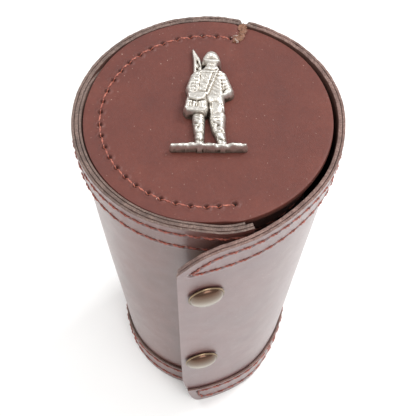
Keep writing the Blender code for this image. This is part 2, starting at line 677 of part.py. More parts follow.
def die(name, centre, turn, top, mat):
    """Cube with chamfered edges and a sunk pip for every spot."""
    h = DIE / 2
    bm = bmesh.new()
    bmesh.ops.create_cube(bm, size=DIE)
    bmesh.ops.bevel(bm, geom=bm.edges[:], offset=DIE_CHAMFER, segments=1, affect="EDGES")
    side = {1: Vector((0, 0, 1)), 6: Vector((0, 0, -1)), 2: Vector((0, -1, 0)),
            5: Vector((0, 1, 0)), 3: Vector((1, 0, 0)), 4: Vector((-1, 0, 0))}
    V = [v.co.copy() for v in bm.verts]
    Fc = [[v.index for v in f.verts] for f in bm.faces]
    bm.free()
    ob = add(name, V, Fc, mat, smooth=False)
    cv, cf = [], []
    for n, ax in side.items():
        e1 = ax.orthogonal().normalized()
        e2 = ax.cross(e1)
        for (a, b) in PIPS[n]:
            p = ax * h + (e1 * a + e2 * b) * PIP_STEP
            i0 = len(cv)
            k6 = [p + (e1 * cos(pi * k / 3) + e2 * sin(pi * k / 3)) * PIP_MOUTH + ax * PIP_RISE for k in range(6)]
            l6 = [p + (e1 * cos(pi * k / 3) + e2 * sin(pi * k / 3)) * PIP_BOTTOM - ax * PIP_SINK for k in range(6)]
            cv += k6 + l6
            cf.append(tuple(i0 + k for k in range(6)))
            cf.append(tuple(i0 + 6 + k for k in range(6))[::-1])
            for k in range(6):
                q = (k + 1) % 6
                cf.append((i0 + k, i0 + 6 + k, i0 + 6 + q, i0 + q))
    boolean(ob, add("cut", cv, cf, mat, smooth=False), "DIFFERENCE")
    # Turn the wanted number up, then turn the die about the vertical.
    up = side[top]
    M = up.rotation_difference(Vector((0, 0, 1))).to_matrix()
    M = Matrix.Rotation(radians(turn), 3, "Z") @ M
    ob.data.transform(M.to_4x4())
    ob.location = Vector(centre) * MM
    return ob


for i, (top, twist) in enumerate([(6, 2.0), (3, -3.0), (5, 1.5), (2, -2.0), (4, 3.0)]):
    a = 90.0 + 72.0 * i
    die("die_%d" % (i + 1), (DICE_R * cos(radians(a)), DICE_R * sin(radians(a)), FLOOR + DICE_GAP + DIE / 2),
        a + twist, top, material("die_%d" % (i + 1), (0.80, 0.76, 0.66), 0.3))
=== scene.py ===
"""Looks of a snap-closed, tapered leather dice case with a pewter figure on its
lid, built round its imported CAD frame."""
import bpy
import bmesh
import numpy as np
from math import radians, degrees, pi, sqrt, atan2
from mathutils import Vector, Matrix


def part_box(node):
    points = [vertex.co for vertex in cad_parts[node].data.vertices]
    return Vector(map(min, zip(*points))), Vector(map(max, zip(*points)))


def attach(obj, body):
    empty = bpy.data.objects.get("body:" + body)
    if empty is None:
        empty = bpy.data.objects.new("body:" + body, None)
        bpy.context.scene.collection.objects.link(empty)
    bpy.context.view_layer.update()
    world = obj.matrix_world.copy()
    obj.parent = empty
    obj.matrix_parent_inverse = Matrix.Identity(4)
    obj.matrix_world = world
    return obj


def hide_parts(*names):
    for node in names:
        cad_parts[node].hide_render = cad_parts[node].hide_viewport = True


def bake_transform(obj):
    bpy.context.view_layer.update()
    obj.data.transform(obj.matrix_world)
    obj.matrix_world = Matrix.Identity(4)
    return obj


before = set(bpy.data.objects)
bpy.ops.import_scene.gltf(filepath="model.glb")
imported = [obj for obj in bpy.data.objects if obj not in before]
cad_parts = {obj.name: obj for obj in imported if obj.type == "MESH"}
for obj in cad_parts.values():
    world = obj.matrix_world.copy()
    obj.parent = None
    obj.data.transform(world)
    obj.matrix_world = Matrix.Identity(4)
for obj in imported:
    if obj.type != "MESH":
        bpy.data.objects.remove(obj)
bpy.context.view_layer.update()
MM = 0.001
bpy.context.scene.view_settings.view_transform = "Standard"

# ------------------------------------------------------------------ the case
# Lengths are in millimetres until a mesh is made.  The wall is a cone frustum,
# and every leather layer is a shell at a constant depth below the bands.
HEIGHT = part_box("wall_panel")[1].z / MM
R_TOP = 40.0                   # outside the bands, at the rim and at the foot
R_FOOT = 29.5
BAND_T, PANEL_T, WELT_T, GLUE = 0.8, 1.1, 0.7, 0.15
BAND_H = 12.4
HINGE_AZ = 75.0                # fold line; azimuths are in degrees from +X
STRIP = 9.0                    # half width of the bending strip, in degrees
WALL_END_AZ = 289.0            # front end of the fixed wall, under the flap
SEWN = (77.5, 286.0)           # where the lid and base are sewn to the wall
FLAP_EASE, EASE_RUN = 1.0, 70.0   # how far the flap stands out, and over how many degrees
STRAIGHT_AZ = -36.0            # from here the flap runs flatter, over the studs
RUN_R = 62.0                   # radius of that flatter run
EDGE_PSI = (radians(5.2), radians(8.05))      # the flap's free end, at foot and rim
CORNER_TOP = (16.0, 11.5, 2)   # the free end's corners: reach, depth and power
CORNER_FOOT = (6.5, 22.0, 3)
TUCK = 2.6                     # how far the flap's foot is drawn in
SPRING = 0.9                   # how far the flap stands off towards the front
# Flap stations over which each of these comes and goes, as start and run.
TUCK_IN, TUCK_OUT = (0.05, 0.40), (1.36, 0.56)
SPRING_IN, SPRING_OUT = (0.72, 0.33), (1.8, 0.4)
FLARE = 1.3                    # how far the wall's front end springs out
FLARE_FROM, FLARE_RUN = 262.0, 20.0
WANDER = 0.28                  # how far the bent wall strays from true
NOTCH_AZ = 72.7                # torn notch in the rim, beside the fold
PANEL_OUT = BAND_T + GLUE
PANEL_IN = PANEL_OUT + PANEL_T
WELT_OUT = PANEL_IN + GLUE
WELT_IN = WELT_OUT + WELT_T
PITCH = 4.3                    # stitch length
ROW_1, ROW_2 = 3.4, 10.6       # stitch rows, from a band's outer edge
LID_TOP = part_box("lid_disc")[1].z / MM
LID_T = LID_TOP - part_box("lid_disc")[0].z / MM
LID_R = -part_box("lid_disc")[0].x / MM
LID_FREE_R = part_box("lid_disc")[1].x / MM
LID_SEAM_R = 31.6
BASE_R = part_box("base_disc")[1].x / MM
BASE_SEAM_R = 21.6
RNG = np.random.default_rng(7)


def smooth(t):
    """Eases from 0 to 1."""
    t = np.clip(t, 0.0, 1.0)
    return t * t * (3 - 2 * t)


def between(a, start, end):
    """1 between two stations, eased to 0 outside them, each as place and run."""
    return smooth((a - start[0]) / start[1]) * smooth((end[0] - a) / end[1])


def outside_radius(z):
    """Of the bands, at a height."""
    return R_FOOT + (R_TOP - R_FOOT) * z / HEIGHT


def polar(r, az, z):
    """Points at a radius, an azimuth in degrees and a height."""
    a = np.radians(az)
    return np.stack(np.broadcast_arrays(r * np.cos(a), r * np.sin(a), z), -1)


def wall_place(az, z, off):
    """Points of the fixed wall: azimuth in degrees, height, depth below the bands."""
    return polar(outside_radius(z) - off + leather_wander(np.radians(az), z) + flare(az, z), az, z)


def flare(az, z):
    """The wall's unsewn front end stands a little proud of the circle."""
    return FLARE * smooth((np.asarray(az) - FLARE_FROM) / FLARE_RUN) * np.clip(z / HEIGHT, 0, 1)


def leather_wander(a, z):
    """Slow in-and-out wander of hand-bent leather, nothing near the fold line."""
    away = np.clip(np.abs((np.degrees(a) - HINGE_AZ + 180) % 360 - 180) / 25.0 - 0.4, 0, 1)
    front = np.clip((283.0 - np.degrees(a) % 360) / 12.0, 0, 1)
    middle = np.sin(np.pi * np.clip(z / HEIGHT, 0, 1)) ** 2
    waves = np.sin(3.1 * a + 0.05 * z) + 0.6 * np.sin(5.3 * a - 0.031 * z + 1.0)
    return WANDER * away * front * middle * waves


PSI_0 = radians(90.0 + STRAIGHT_AZ)
RUN_CX = -(RUN_R - R_TOP - FLAP_EASE) * np.cos(radians(STRAIGHT_AZ))
RUN_CY = -(RUN_R - R_TOP - FLAP_EASE) * np.sin(radians(STRAIGHT_AZ))


def flap_plan(u):
    """Plan curve at the rim: u 0..1 runs on the case's circle from the fold
    line, 1..2 along the flatter run over the studs."""
    u = np.asarray(u, float)
    az = HINGE_AZ + (STRAIGHT_AZ - HINGE_AZ) * np.minimum(u, 1.0)
    t = np.minimum(1.0, (HINGE_AZ - az) / EASE_RUN)
    r = R_TOP + FLAP_EASE * t * t * (3 - 2 * t)
    a = np.radians(az)
    psi = PSI_0 * (2.0 - np.maximum(u, 1.0))
    on_run = u > 1.0
    nx = np.where(on_run, np.sin(psi), np.cos(a))
    ny = np.where(on_run, -np.cos(psi), np.sin(a))
    x = np.where(on_run, RUN_CX + RUN_R * nx, r * nx)
    y = np.where(on_run, RUN_CY + RUN_R * ny, r * ny)
    return x, y, nx, ny


def tuck(u, z):
    """How far the flap is drawn in towards its foot, between the fold and the studs."""
    return TUCK * (1 - z / HEIGHT) * between(u, TUCK_IN, TUCK_OUT)


def flap_place(u, z, off):
    """Points of the flap: station along its plan curve, height, depth below the bands."""
    x, y, nx, ny = flap_plan(u)
    k = outside_radius(z) / R_TOP
    stand = SPRING * np.clip(z / HEIGHT, 0, 1) ** 2 * between(u, SPRING_IN, SPRING_OUT)
    off = off + tuck(u, z) - stand
    return np.stack([x * k - nx * off, y * k - ny * off, z + 0 * x], -1)


def u_of_psi(psi):
    return 2.0 - psi / PSI_0


def edge_psi(z):
    return EDGE_PSI[0] + (EDGE_PSI[1] - EDGE_PSI[0]) * z / HEIGHT


def corner(t, shape):
    """How far an edge turns away at t mm from the free end, as reach, depth and power."""
    reach, depth, power = shape
    return depth * np.clip(1.0 - np.maximum(t, 0.0) / reach, 0, 1) ** power


PSI_EDGE_TOP = edge_psi(HEIGHT - CORNER_TOP[1])
PSI_EDGE_FOOT = edge_psi(CORNER_FOOT[1])
K_FOOT = outside_radius(CORNER_FOOT[1]) / R_TOP


def flap_rim(u):
    """Height of the flap's top edge."""
    psi = PSI_0 * (2.0 - np.asarray(u, float))
    curved = HEIGHT - corner((psi - PSI_EDGE_TOP) * RUN_R, CORNER_TOP)
    plumb = (psi - EDGE_PSI[0]) / (EDGE_PSI[1] - EDGE_PSI[0]) * HEIGHT
    return np.where(psi >= PSI_EDGE_TOP, curved, plumb)


def flap_foot(u):
    psi = PSI_0 * (2.0 - np.asarray(u, float))
    return corner((psi - PSI_EDGE_FOOT) * RUN_R * K_FOOT, CORNER_FOOT)


# ------------------------------------------------------------------ materials
def linear(shade):
    """Linear RGBA of an sRGB hex colour, or of a bare level from 0 to 1."""
    if not isinstance(shade, str):
        return (shade, shade, shade, 1.0)
    c = np.array([int(shade[i:i + 2], 16) for i in (1, 3, 5)]) / 255
    c = np.where(c <= 0.04045, c / 12.92, ((c + 0.055) / 1.055) ** 2.4)
    return (*c, 1.0)


def node(tree, kind, inputs=None, stops=(), **settings):
    """Adds a node with its settings and colour stops, and sets or links its inputs."""
    n = tree.nodes.new(kind)
    for key, value in settings.items():
        setattr(n, key, value)
    for key, value in (inputs or {}).items():
        if isinstance(value, bpy.types.Node):
            value = value.outputs[0]
        if isinstance(value, bpy.types.NodeSocket):
            tree.links.new(value, n.inputs[key])
        else:
            n.inputs[key].default_value = value
    for i, (place, shade) in enumerate(stops):
        stop = n.color_ramp.elements[i] if i < 2 else n.color_ramp.elements.new(place)
        stop.position = place
        stop.color = linear(shade)
    return n


def new_material(name):
    """An empty material, its node tree, and the object's own metre coordinates."""
    m = bpy.data.materials.new(name)
    m.use_nodes = True
    m.node_tree.nodes.clear()
    at = node(m.node_tree, "ShaderNodeTexCoord").outputs["Object"]
    return m, m.node_tree, at


def finish_material(m, tree, relief, depth_mm, **shader):
    """Principled shader, with a bump from a relief where there is one."""
    if relief is not None:
        bump = node(tree, "ShaderNodeBump", {"Height": relief, "Strength": 1.0, "Distance": depth_mm * MM})
        shader["Normal"] = bump
    p = node(tree, "ShaderNodeBsdfPrincipled", {k.replace("_", " "): v for k, v in shader.items()})
    node(tree, "ShaderNodeOutputMaterial", {"Surface": p})
    return m


def across(at, size_mm, detail=3.0, rough=0.55):
    """Noise inputs for blobs about size_mm across."""
    return {"Vector": at, "Scale": 1.0 / (size_mm * MM), "Detail": detail, "Roughness": rough}


BLEND = {"data_type": "RGBA", "blend_type": "MIX"}
DARKEN = {"data_type": "RGBA", "blend_type": "MULTIPLY"}


def leather(name, deep, base, pale, coat, rough):
    """Chestnut bridle leather: drum-dyed, glazed and waxed, so a smooth tight
    grain, a slow cloudiness in the dye and a clear soft gloss."""
    m, t, at = new_material(name)
    cloud = node(t, "ShaderNodeTexNoise", across(at, 14.0, 4.0))
    dye = node(t, "ShaderNodeValToRGB", {"Fac": cloud}, [(0.32, deep), (0.55, base), (0.74, pale)])
    mottle = node(t, "ShaderNodeTexNoise", across(at, 0.9))
    fine = node(t, "ShaderNodeValToRGB", {"Fac": mottle}, [(0.35, 0.76), (0.65, 1.0)])
    dyed = node(t, "ShaderNodeMix", {"Factor": 0.55, 6: dye, 7: fine}, **DARKEN).outputs[2]
    # Painted shade: sunk needle holes and thread valleys are darkened almost to black-brown, standing in
    # for the shadow in them.
    hole_shade = node(t, "ShaderNodeAttribute", attribute_name="hole_shade").outputs["Fac"]
    sewn = node(t, "ShaderNodeMix", {"Factor": hole_shade, 6: dyed, 7: linear("#2a130e")}, **BLEND).outputs[2]
    # Dust specks a few tenths of a millimetre across.
    dust = node(t, "ShaderNodeTexNoise", across(at, 0.6, 1.0))
    speck = node(t, "ShaderNodeValToRGB", {"Fac": dust}, [(0.75, 0.0), (0.78, 1.0)])
    colour = node(t, "ShaderNodeMix", {"Factor": speck, 6: sewn, 7: linear("#b89a8c")}, **BLEND).outputs[2]
    pores = node(t, "ShaderNodeTexNoise", across(at, 0.32, 2.0))
    cells = node(t, "ShaderNodeTexVoronoi", {"Vector": at, "Scale": 1 / (0.55 * MM)},
                 feature="DISTANCE_TO_EDGE")
    creases = node(t, "ShaderNodeValToRGB", {"Fac": cells}, [(0.0, 0.0), (0.09, 1.0)])
    grain = node(t, "ShaderNodeMath", {0: pores, 1: creases}, operation="ADD")
    rub = node(t, "ShaderNodeTexNoise", across(at, 5.0))
    gloss = node(t, "ShaderNodeMapRange", {"Value": rub, "From Min": 0.3, "From Max": 0.7,
                                           "To Min": rough - 0.05, "To Max": rough + 0.07})
    return finish_material(m, t, grain, 0.035, Base_Color=colour, Roughness=gloss, Coat_Weight=coat,
                           Coat_Roughness=0.34, Coat_IOR=1.75, Sheen_Weight=0.06, Sheen_Roughness=0.4)


def raw_edge(name, dark, mid, pale):
    """Cut leather edge, dyed and rubbed: a taupe bundle of fibres in thin
    strata that run along the edge."""
    m, t, at = new_material(name)
    fibre = node(t, "ShaderNodeTexNoise", across(at, 0.42, 5.0, 0.7))
    fibres = node(t, "ShaderNodeValToRGB", {"Fac": fibre}, [(0.30, dark), (0.50, mid), (0.72, pale)])
    along = node(t, "ShaderNodeTexNoise", across(at, 3.2, 2.0))
    handled = node(t, "ShaderNodeValToRGB", {"Fac": along}, [(0.42, 0.0), (0.66, 0.5)])
    colour = node(t, "ShaderNodeMix", {"Factor": handled, 6: fibres, 7: linear(dark)}, **BLEND).outputs[2]
    return finish_material(m, t, fibre, 0.12, Base_Color=colour, Roughness=0.62, Coat_Weight=0.25,
                           Coat_Roughness=0.45)


def waxed_thread(name, dark, base):
    """Two-ply waxed linen, orange-red, darker and duller where it has worn."""
    m, t, at = new_material(name)
    wear = node(t, "ShaderNodeTexNoise", across(at, 1.8))
    colour = node(t, "ShaderNodeValToRGB", {"Fac": wear}, [(0.35, dark), (0.6, base)])
    fibre = node(t, "ShaderNodeTexNoise", across(at, 0.12, 2.0))
    return finish_material(m, t, fibre, 0.05, Base_Color=colour, Roughness=0.5, Coat_Weight=0.5,
                           Coat_Roughness=0.35)


def cast_pewter(name):
    """Cast pewter, polished on the high parts, its hollows darkened to brown-grey as painted shade."""
    m, t, at = new_material(name)
    hollow = node(t, "ShaderNodeAttribute", attribute_name="hollow").outputs["Fac"]
    smear = node(t, "ShaderNodeTexNoise", across(at, 0.9, 4.0))
    faint = node(t, "ShaderNodeMath", {0: smear, 1: 0.45}, operation="MULTIPLY")
    depth = node(t, "ShaderNodeMath", {0: hollow, 1: faint}, operation="ADD")
    # Painted shade: the deeper a point lies in a hollow, the darker its colour.
    colour = node(t, "ShaderNodeValToRGB", {"Fac": depth},
                  [(0.38, "#d8d4cd"), (0.62, "#aca499"), (0.95, "#544a40")])
    rough = node(t, "ShaderNodeMapRange", {"Value": depth, "From Min": 0.4, "From Max": 1.0,
                                           "To Min": 0.4, "To Max": 0.6})
    skin = node(t, "ShaderNodeTexNoise", across(at, 0.35))
    return finish_material(m, t, skin, 0.02, Base_Color=colour, Metallic=1.0, Roughness=rough)


def brass_with_painted_reflection(name, dark, mid, base):
    """Brass with a painted reflection: its colour runs by height from base below, through mid, to the
    colour given as dark at the top, standing in for what it mirrors above and below.
    """
    m, t, at = new_material(name)
    share = node(t, "ShaderNodeTexCoord").outputs["Generated"]
    up = node(t, "ShaderNodeSeparateXYZ", {"Vector": share}).outputs["Z"]
    # Painted reflection: a colour ramp on the part's own height, not a finish of the metal.
    colour = node(t, "ShaderNodeValToRGB", {"Fac": up}, [(0.42, base), (0.60, mid), (0.84, dark)])
    upright = node(t, "ShaderNodeMapping", {"Vector": at, "Scale": (1.0, 1.0, 3.0)})
    scuff = node(t, "ShaderNodeTexNoise", across(upright.outputs[0], 0.5))
    return finish_material(m, t, scuff, 0.004, Base_Color=colour, Metallic=1.0, Roughness=0.27)


def wool_felt(name, dark, base):
    """Pressed wool felt: matted fibres, no gloss."""
    m, t, at = new_material(name)
    fibre = node(t, "ShaderNodeTexNoise", across(at, 0.35, 5.0, 0.75))
    colour = node(t, "ShaderNodeValToRGB", {"Fac": fibre}, [(0.35, dark), (0.65, base)])
    return finish_material(m, t, fibre, 0.35, Base_Color=colour, Roughness=0.95, Sheen_Weight=0.5,
                           Sheen_Roughness=0.5)


def cast_resin(name, base, pale):
    """Polished ivory-coloured resin with a faint cloudiness."""
    m, t, at = new_material(name)
    cloud = node(t, "ShaderNodeTexNoise", across(at, 4.0))
    colour = node(t, "ShaderNodeValToRGB", {"Fac": cloud}, [(0.4, base), (0.6, pale)])
    return finish_material(m, t, None, 0.0, Base_Color=colour, Roughness=0.18, Subsurface_Weight=0.1,
                           Subsurface_Scale=0.002)


def even_finish(name, colour, rough, metallic):
    """One-coloured metal or paint with a very fine unevenness in its gloss."""
    m, t, at = new_material(name)
    skin = node(t, "ShaderNodeTexNoise", across(at, 0.4, 2.0))
    return finish_material(m, t, skin, 0.01, Base_Color=linear(colour), Roughness=rough,
                           Metallic=metallic)


def paper_sweep(name, dark, pale):
    """White paper: matt, with a barely visible unevenness."""
    m, t, at = new_material(name)
    cloud = node(t, "ShaderNodeTexNoise", across(at, 60.0, 2.0))
    colour = node(t, "ShaderNodeValToRGB", {"Fac": cloud}, [(0.3, dark), (0.7, pale)])
    return finish_material(m, t, None, 0.0, Base_Color=colour, Roughness=0.9)


WALL_LEATHER = leather("glazed_bridle_leather_wall", "#57291f", "#602e25", "#68362b", 0.76, 0.46)
# The flap is cut from the same leather sheet as the fixed wall; its copy is tinted pinker than the wall's
# as painted sheen, and has a fuller coat.
FLAP_LEATHER_PAINTED_SHEEN = leather("glazed_bridle_leather_flap_painted_sheen", "#54292a", "#5c2e2d", "#643534", 1.0, 0.46)
LID_LEATHER = leather("glazed_bridle_leather_lid", "#5d281e", "#642c20", "#6b3225", 0.06, 0.55)
BINDING = leather("saddle_leather_binding", "#4f2a22", "#5c3228", "#693c30", 0.1, 0.6)
RAW_EDGE = raw_edge("rubbed_cut_edge", "#392a25", "#6a544b", "#978177")
FLAP_EDGE = raw_edge("rubbed_cut_edge_darker", "#442c26", "#7a5c53", "#a58f86")
DYED_EDGE = raw_edge("dyed_cut_edge", "#3f201a", "#5c3128", "#754438")
FLESH_SIDE = raw_edge("suede_flesh_side", "#3c241c", "#50332a", "#5f4035")
TORN = raw_edge("torn_leather_fibre", "#54301f", "#7d523b", "#a87c5e")
# THREAD is darker than LID_THREAD: partly the thread's own brown-red, partly painted shade of the grooves
# that the wall rows lie in.
THREAD = waxed_thread("waxed_linen_thread", "#6e3328", "#9a5040")
LID_THREAD = waxed_thread("waxed_linen_thread_lighter", "#944838", "#bd6e59")
PALE_THREAD = waxed_thread("dusty_thread_end", "#8e7468", "#c4b2a8")
PEWTER = cast_pewter("cast_pewter_painted_hollow_shade")
# Painted reflection: the caps are painted brown towards their tops and pale below; the rolled rims are
# painted lighter and more golden towards their tops, as a highlight.
BRASS = brass_with_painted_reflection("brass_cap_painted_reflection", "#5d463a", "#83766a", "#a39b90")
BRASS_RIM = brass_with_painted_reflection("brass_rolled_rim_painted_highlight", "#947f66", "#857663", "#7d7265")
BRIGHT_BRASS = even_finish("drawn_brass_fitting", "#a98d55", 0.3, 1.0)
STEEL = even_finish("plated_steel_clutch", "#a9a69e", 0.35, 1.0)
CUP_LEATHER = leather("dark_saddle_leather_cup", "#3a2018", "#482a20", "#533126", 0.3, 0.5)
FELT = wool_felt("green_wool_felt", "#12301f", "#1f4a30")
IVORY = cast_resin("ivory_resin_die", "#e3dac2", "#efe8d6")
PIP_INK = even_finish("sunk_black_pip", "#141210", 0.4, 0.0)
PAPER = paper_sweep("white_paper_sweep", "#f4f4f3", "#f8f8f7")


# ------------------------------------------------------------------ mesh making
def linked(name, data):
    """A new object in the scene."""
    ob = bpy.data.objects.new(name, data)
    bpy.context.scene.collection.objects.link(ob)
    return ob


def piece(name, verts, faces, materials, index=None, sharp=35.0, attributes=None):
    """Smooth-shaded mesh object from millimetre vertices, with edges sharper than
    some degrees kept hard."""
    me = bpy.data.meshes.new(name)
    me.from_pydata((np.asarray(verts) * MM).tolist(), [], faces)
    for m in materials:
        me.materials.append(m)
    if index is not None:
        me.polygons.foreach_set("material_index", np.asarray(index, np.int32))
    for key, values in (attributes or {}).items():
        at = me.attributes.new(key, "FLOAT", "POINT")
        at.data.foreach_set("value", np.asarray(values, np.float32))
    me.validate()
    me.shade_smooth()
    me.set_sharp_from_angle(angle=radians(sharp))
    return linked(name, me)


def loops_to_faces(n, m, closed_run=False):
    """Quads that join n loops of m points each, and the end caps of an open run."""
    i, j = np.meshgrid(np.arange(n if closed_run else n - 1), np.arange(m), indexing="ij")
    i2, j2 = (i + 1) % n, (j + 1) % m
    q = np.stack([i * m + j, i2 * m + j, i2 * m + j2, i * m + j2], -1).reshape(-1, 4)
    faces = q.tolist()
    if not closed_run:
        faces.append(list(range(m))[::-1])
        faces.append([(n - 1) * m + k for k in range(m)])
    return faces


GRAIN, CUT, FLESH = 0, 1, 2         # material slots of a strip: outside, cut edge, inside
BAND_LIP, PANEL_LIP = 0.14, 0.16    # how far a raw edge is rounded
RAGGED_REACH = 16.0                 # edges this close to the rim are hand-pared


def shifted(faces, base):
    """Faces of a mesh that is added after base other points."""
    return [[i + base for i in q] for q in faces]


def ragged(az, layer):
    """Small dips of a hand-pared leather edge; each layer has its own."""
    k = 1.0 + layer
    slow = 0.07 * np.sin(az * 0.31 * k + 3 * k)
    quick = 0.05 * np.sin(az * 0.83 * k + 5 * k)
    return 0.10 + slow + quick + 0.04 * np.sin(az * 1.9 * k + k)


def rounded_end(t, r):
    """How far a face draws in at t mm from an end rounded by r."""
    return np.where(t >= r, 0.0, r - np.sqrt(np.maximum(0.0, r * r - (r - t) ** 2)))


def sheet(name, place, stations, z_lo, z_hi, off_out, off_in, materials, v_out, dent=None,
          to_end=None, lip=PANEL_LIP):
    """A strip of leather: loops round its section at each station.  v_out are the
    outer rows as shares of its height; to_end is each station's distance from
    the free end, which is rounded."""
    c = np.asarray(stations, float)
    lo, hi = z_lo(c), z_hi(c)
    az = HINGE_AZ + (STRAIGHT_AZ - HINGE_AZ) * c if place is flap_place else c
    hi = hi - np.where(hi > HEIGHT - RAGGED_REACH, ragged(az, off_out), 0.0)
    draw = np.zeros_like(c) if to_end is None else rounded_end(to_end, lip)
    outer, inner = off_out + draw, off_in - draw
    lo, hi = lo + draw, hi - draw
    flat = hi - lo - 2 * lip
    quarter = np.linspace(0, pi / 2, 4)
    section = [(lo + lip + flat * v, outer, GRAIN) for v in v_out]
    for a in quarter[1:]:
        section.append((hi - lip + lip * np.sin(a), outer + lip * (1 - np.cos(a)), CUT))
    for a in quarter[::-1][1:]:
        section.append((hi - lip + lip * np.sin(a), inner - lip * (1 - np.cos(a)), CUT))
    for v in np.linspace(1, 0, 12)[1:]:
        section.append((lo + lip + flat * v, inner, FLESH))
    for a in quarter[1:]:
        section.append((lo + lip - lip * np.sin(a), inner - lip * (1 - np.cos(a)), CUT))
    for a in quarter[::-1][1:-1]:
        section.append((lo + lip - lip * np.sin(a), outer + lip * (1 - np.cos(a)), CUT))
    m = len(section)
    pts = np.zeros((len(c), m, 3))
    # Painted shade of needle holes and thread valleys, at each point.
    hole_shade = np.zeros((len(c), m))
    for j, (z, off, _) in enumerate(section):
        sink = 0.0
        if dent is not None and j < len(v_out):
            sink, hole_shade[:, j] = dent(c, z)
        pts[:, j] = place(c, z, off + sink)
    here = np.array([side for _, _, side in section])
    after = np.roll(here, -1)
    side = np.maximum(here, after)
    side[(here == FLESH) & (after == CUT)] = CUT
    # The grain wraps over the first part of each rounded edge.
    side[len(v_out) - 1] = GRAIN
    index = np.concatenate([np.tile(side, len(c) - 1), [CUT, CUT]])
    return piece(name, pts.reshape(-1, 3), loops_to_faces(len(c), m), materials, index, 50.0,
                 {"hole_shade": hole_shade.reshape(-1)})


def turned(name, profile, az, steps, materials, index=None, centre=(0, 0, 0), axes=None):
    """Turns a closed (r, z) profile, all the way round or between two azimuths."""
    full = az is None
    a = np.linspace(0, 2 * pi, steps, endpoint=False) if full else np.radians(np.linspace(*az, steps))
    prof = np.array(profile, float)
    r = np.broadcast_to(np.maximum(prof[:, 0], 1e-4), (steps, len(prof)))
    pts = np.stack([r * np.cos(a)[:, None], r * np.sin(a)[:, None],
                    np.broadcast_to(prof[:, 1], r.shape)], -1)
    if axes is not None:
        pts = pts @ np.array(axes).T
    pts = pts + np.array(centre)
    faces = loops_to_faces(len(a), len(prof), full)
    idx = None
    if index is not None:
        idx = np.concatenate([np.tile(index, len(a) if full else len(a) - 1),
                              [] if full else [index[0], index[0]]])
    return piece(name, pts.reshape(-1, 3), faces, materials, idx)


def soft_profile(points, r):
    """Rounds every corner of a closed profile by r."""
    p = [np.array(q, float) for q in points]
    out = []
    for i, b in enumerate(p):
        a, c = p[i - 1], p[(i + 1) % len(p)]
        la, lc = np.linalg.norm(a - b), np.linalg.norm(c - b)
        k = min(r, la * 0.45, lc * 0.45)
        s, e = b + (a - b) / la * k, b + (c - b) / lc * k
        for t in np.linspace(0, 1, 4):
            out.append((1 - t) ** 2 * s + 2 * t * (1 - t) * b + t * t * e)
    return out


# ------------------------------------------------------------------ stitching
GULLEY_R = 0.5       # half width of the groove that a tight row of thread presses
BATCH = 64           # points measured at once
PLY_SIDES = 6
PLY_R = 0.62         # of the thread's radius
STEEP = 0.27         # share of a stitch in which it climbs out of its hole
IN_HOLE = 0.16       # how far past the hole's middle a stitch starts
TWISTS = 1.6         # turns of the plies in one stitch


class Seam:
    """A row of stitches: points (station, height) of its needle holes on a
    surface, a stitch pitch apart along the given path."""

    def __init__(self, place, path, pitch=PITCH, jitter=0.12):
        c, z = np.array(path, float).T
        p = place(c, z, 0.0)
        s = np.concatenate([[0], np.cumsum(np.linalg.norm(np.diff(p, axis=0), axis=1))])
        n = max(2, int(round(s[-1] / pitch)) + 1)
        at = np.linspace(0, s[-1], n)
        at[1:-1] += RNG.normal(0, jitter, n - 2)
        self.place = place
        self.path = (s, c, z)
        self.at = at
        self.holes = place(np.interp(at, s, c), np.interp(at, s, z), 0.0)


def two_ply(centre, normal, radius, turns):
    """Vertices and faces of two plies twisted round a centre line."""
    n = len(centre)
    tangent = np.gradient(centre, axis=0)
    tangent /= np.linalg.norm(tangent, axis=1)[:, None]
    nor = normal - tangent * np.sum(normal * tangent, 1)[:, None]
    nor /= np.linalg.norm(nor, axis=1)[:, None]
    side = np.cross(tangent, nor)
    phase = np.linspace(0, 2 * pi * turns, n)
    verts, faces = [], []
    around = (np.arange(PLY_SIDES) * 2 * pi / PLY_SIDES)[None, :, None]
    ring = np.cos(around) * nor[:, None] + np.sin(around) * side[:, None]
    for k in (0, pi):
        swing = np.cos(phase + k)[:, None] * nor + np.sin(phase + k)[:, None] * side
        ply = centre + radius * 0.5 * swing
        faces += shifted(loops_to_faces(n, PLY_SIDES), sum(len(v) for v in verts))
        verts.append((ply[:, None] + ring * radius * PLY_R).reshape(-1, 3))
    return np.concatenate(verts), faces


def sew(name, seam, thread_r, rise, dip=0.55, outward=None, rings=15, slant=0.28, thread=None):
    """Thread of a seam: each stitch comes up out of one hole, lies a little
    aslant along the leather and goes down into the next."""
    verts, faces, base = [], [], 0
    thread = thread or THREAD
    s, c, z = seam.path
    f = np.linspace(0, 1, rings)
    end = np.clip(np.minimum(f, 1 - f) / STEEP, 0, 1)
    lift = -dip + (rise + dip) * np.sin(end * pi / 2)
    for a, b in zip(seam.at[:-1], seam.at[1:]):
        at = a + IN_HOLE + (b - a - 2 * IN_HOLE) * f
        cc, zz = np.interp(at, s, c), np.interp(at, s, z)
        centre = seam.place(cc, zz, -lift)
        if outward is None:
            normal = seam.place(cc, zz, -1.0) - seam.place(cc, zz, 0.0)
        else:
            normal = np.broadcast_to(np.array(outward, float), centre.shape)
        across = np.cross(np.gradient(centre, axis=0), normal)
        across /= np.linalg.norm(across, axis=1)[:, None]
        centre = centre + across * (slant * np.sin((f - 0.5) * pi))[:, None]
        v, g = two_ply(centre, normal, thread_r, TWISTS)
        verts.append(v)
        faces += shifted(g, base)
        base += len(v)
    return piece(name, np.concatenate(verts), faces, [thread], None, 60.0)


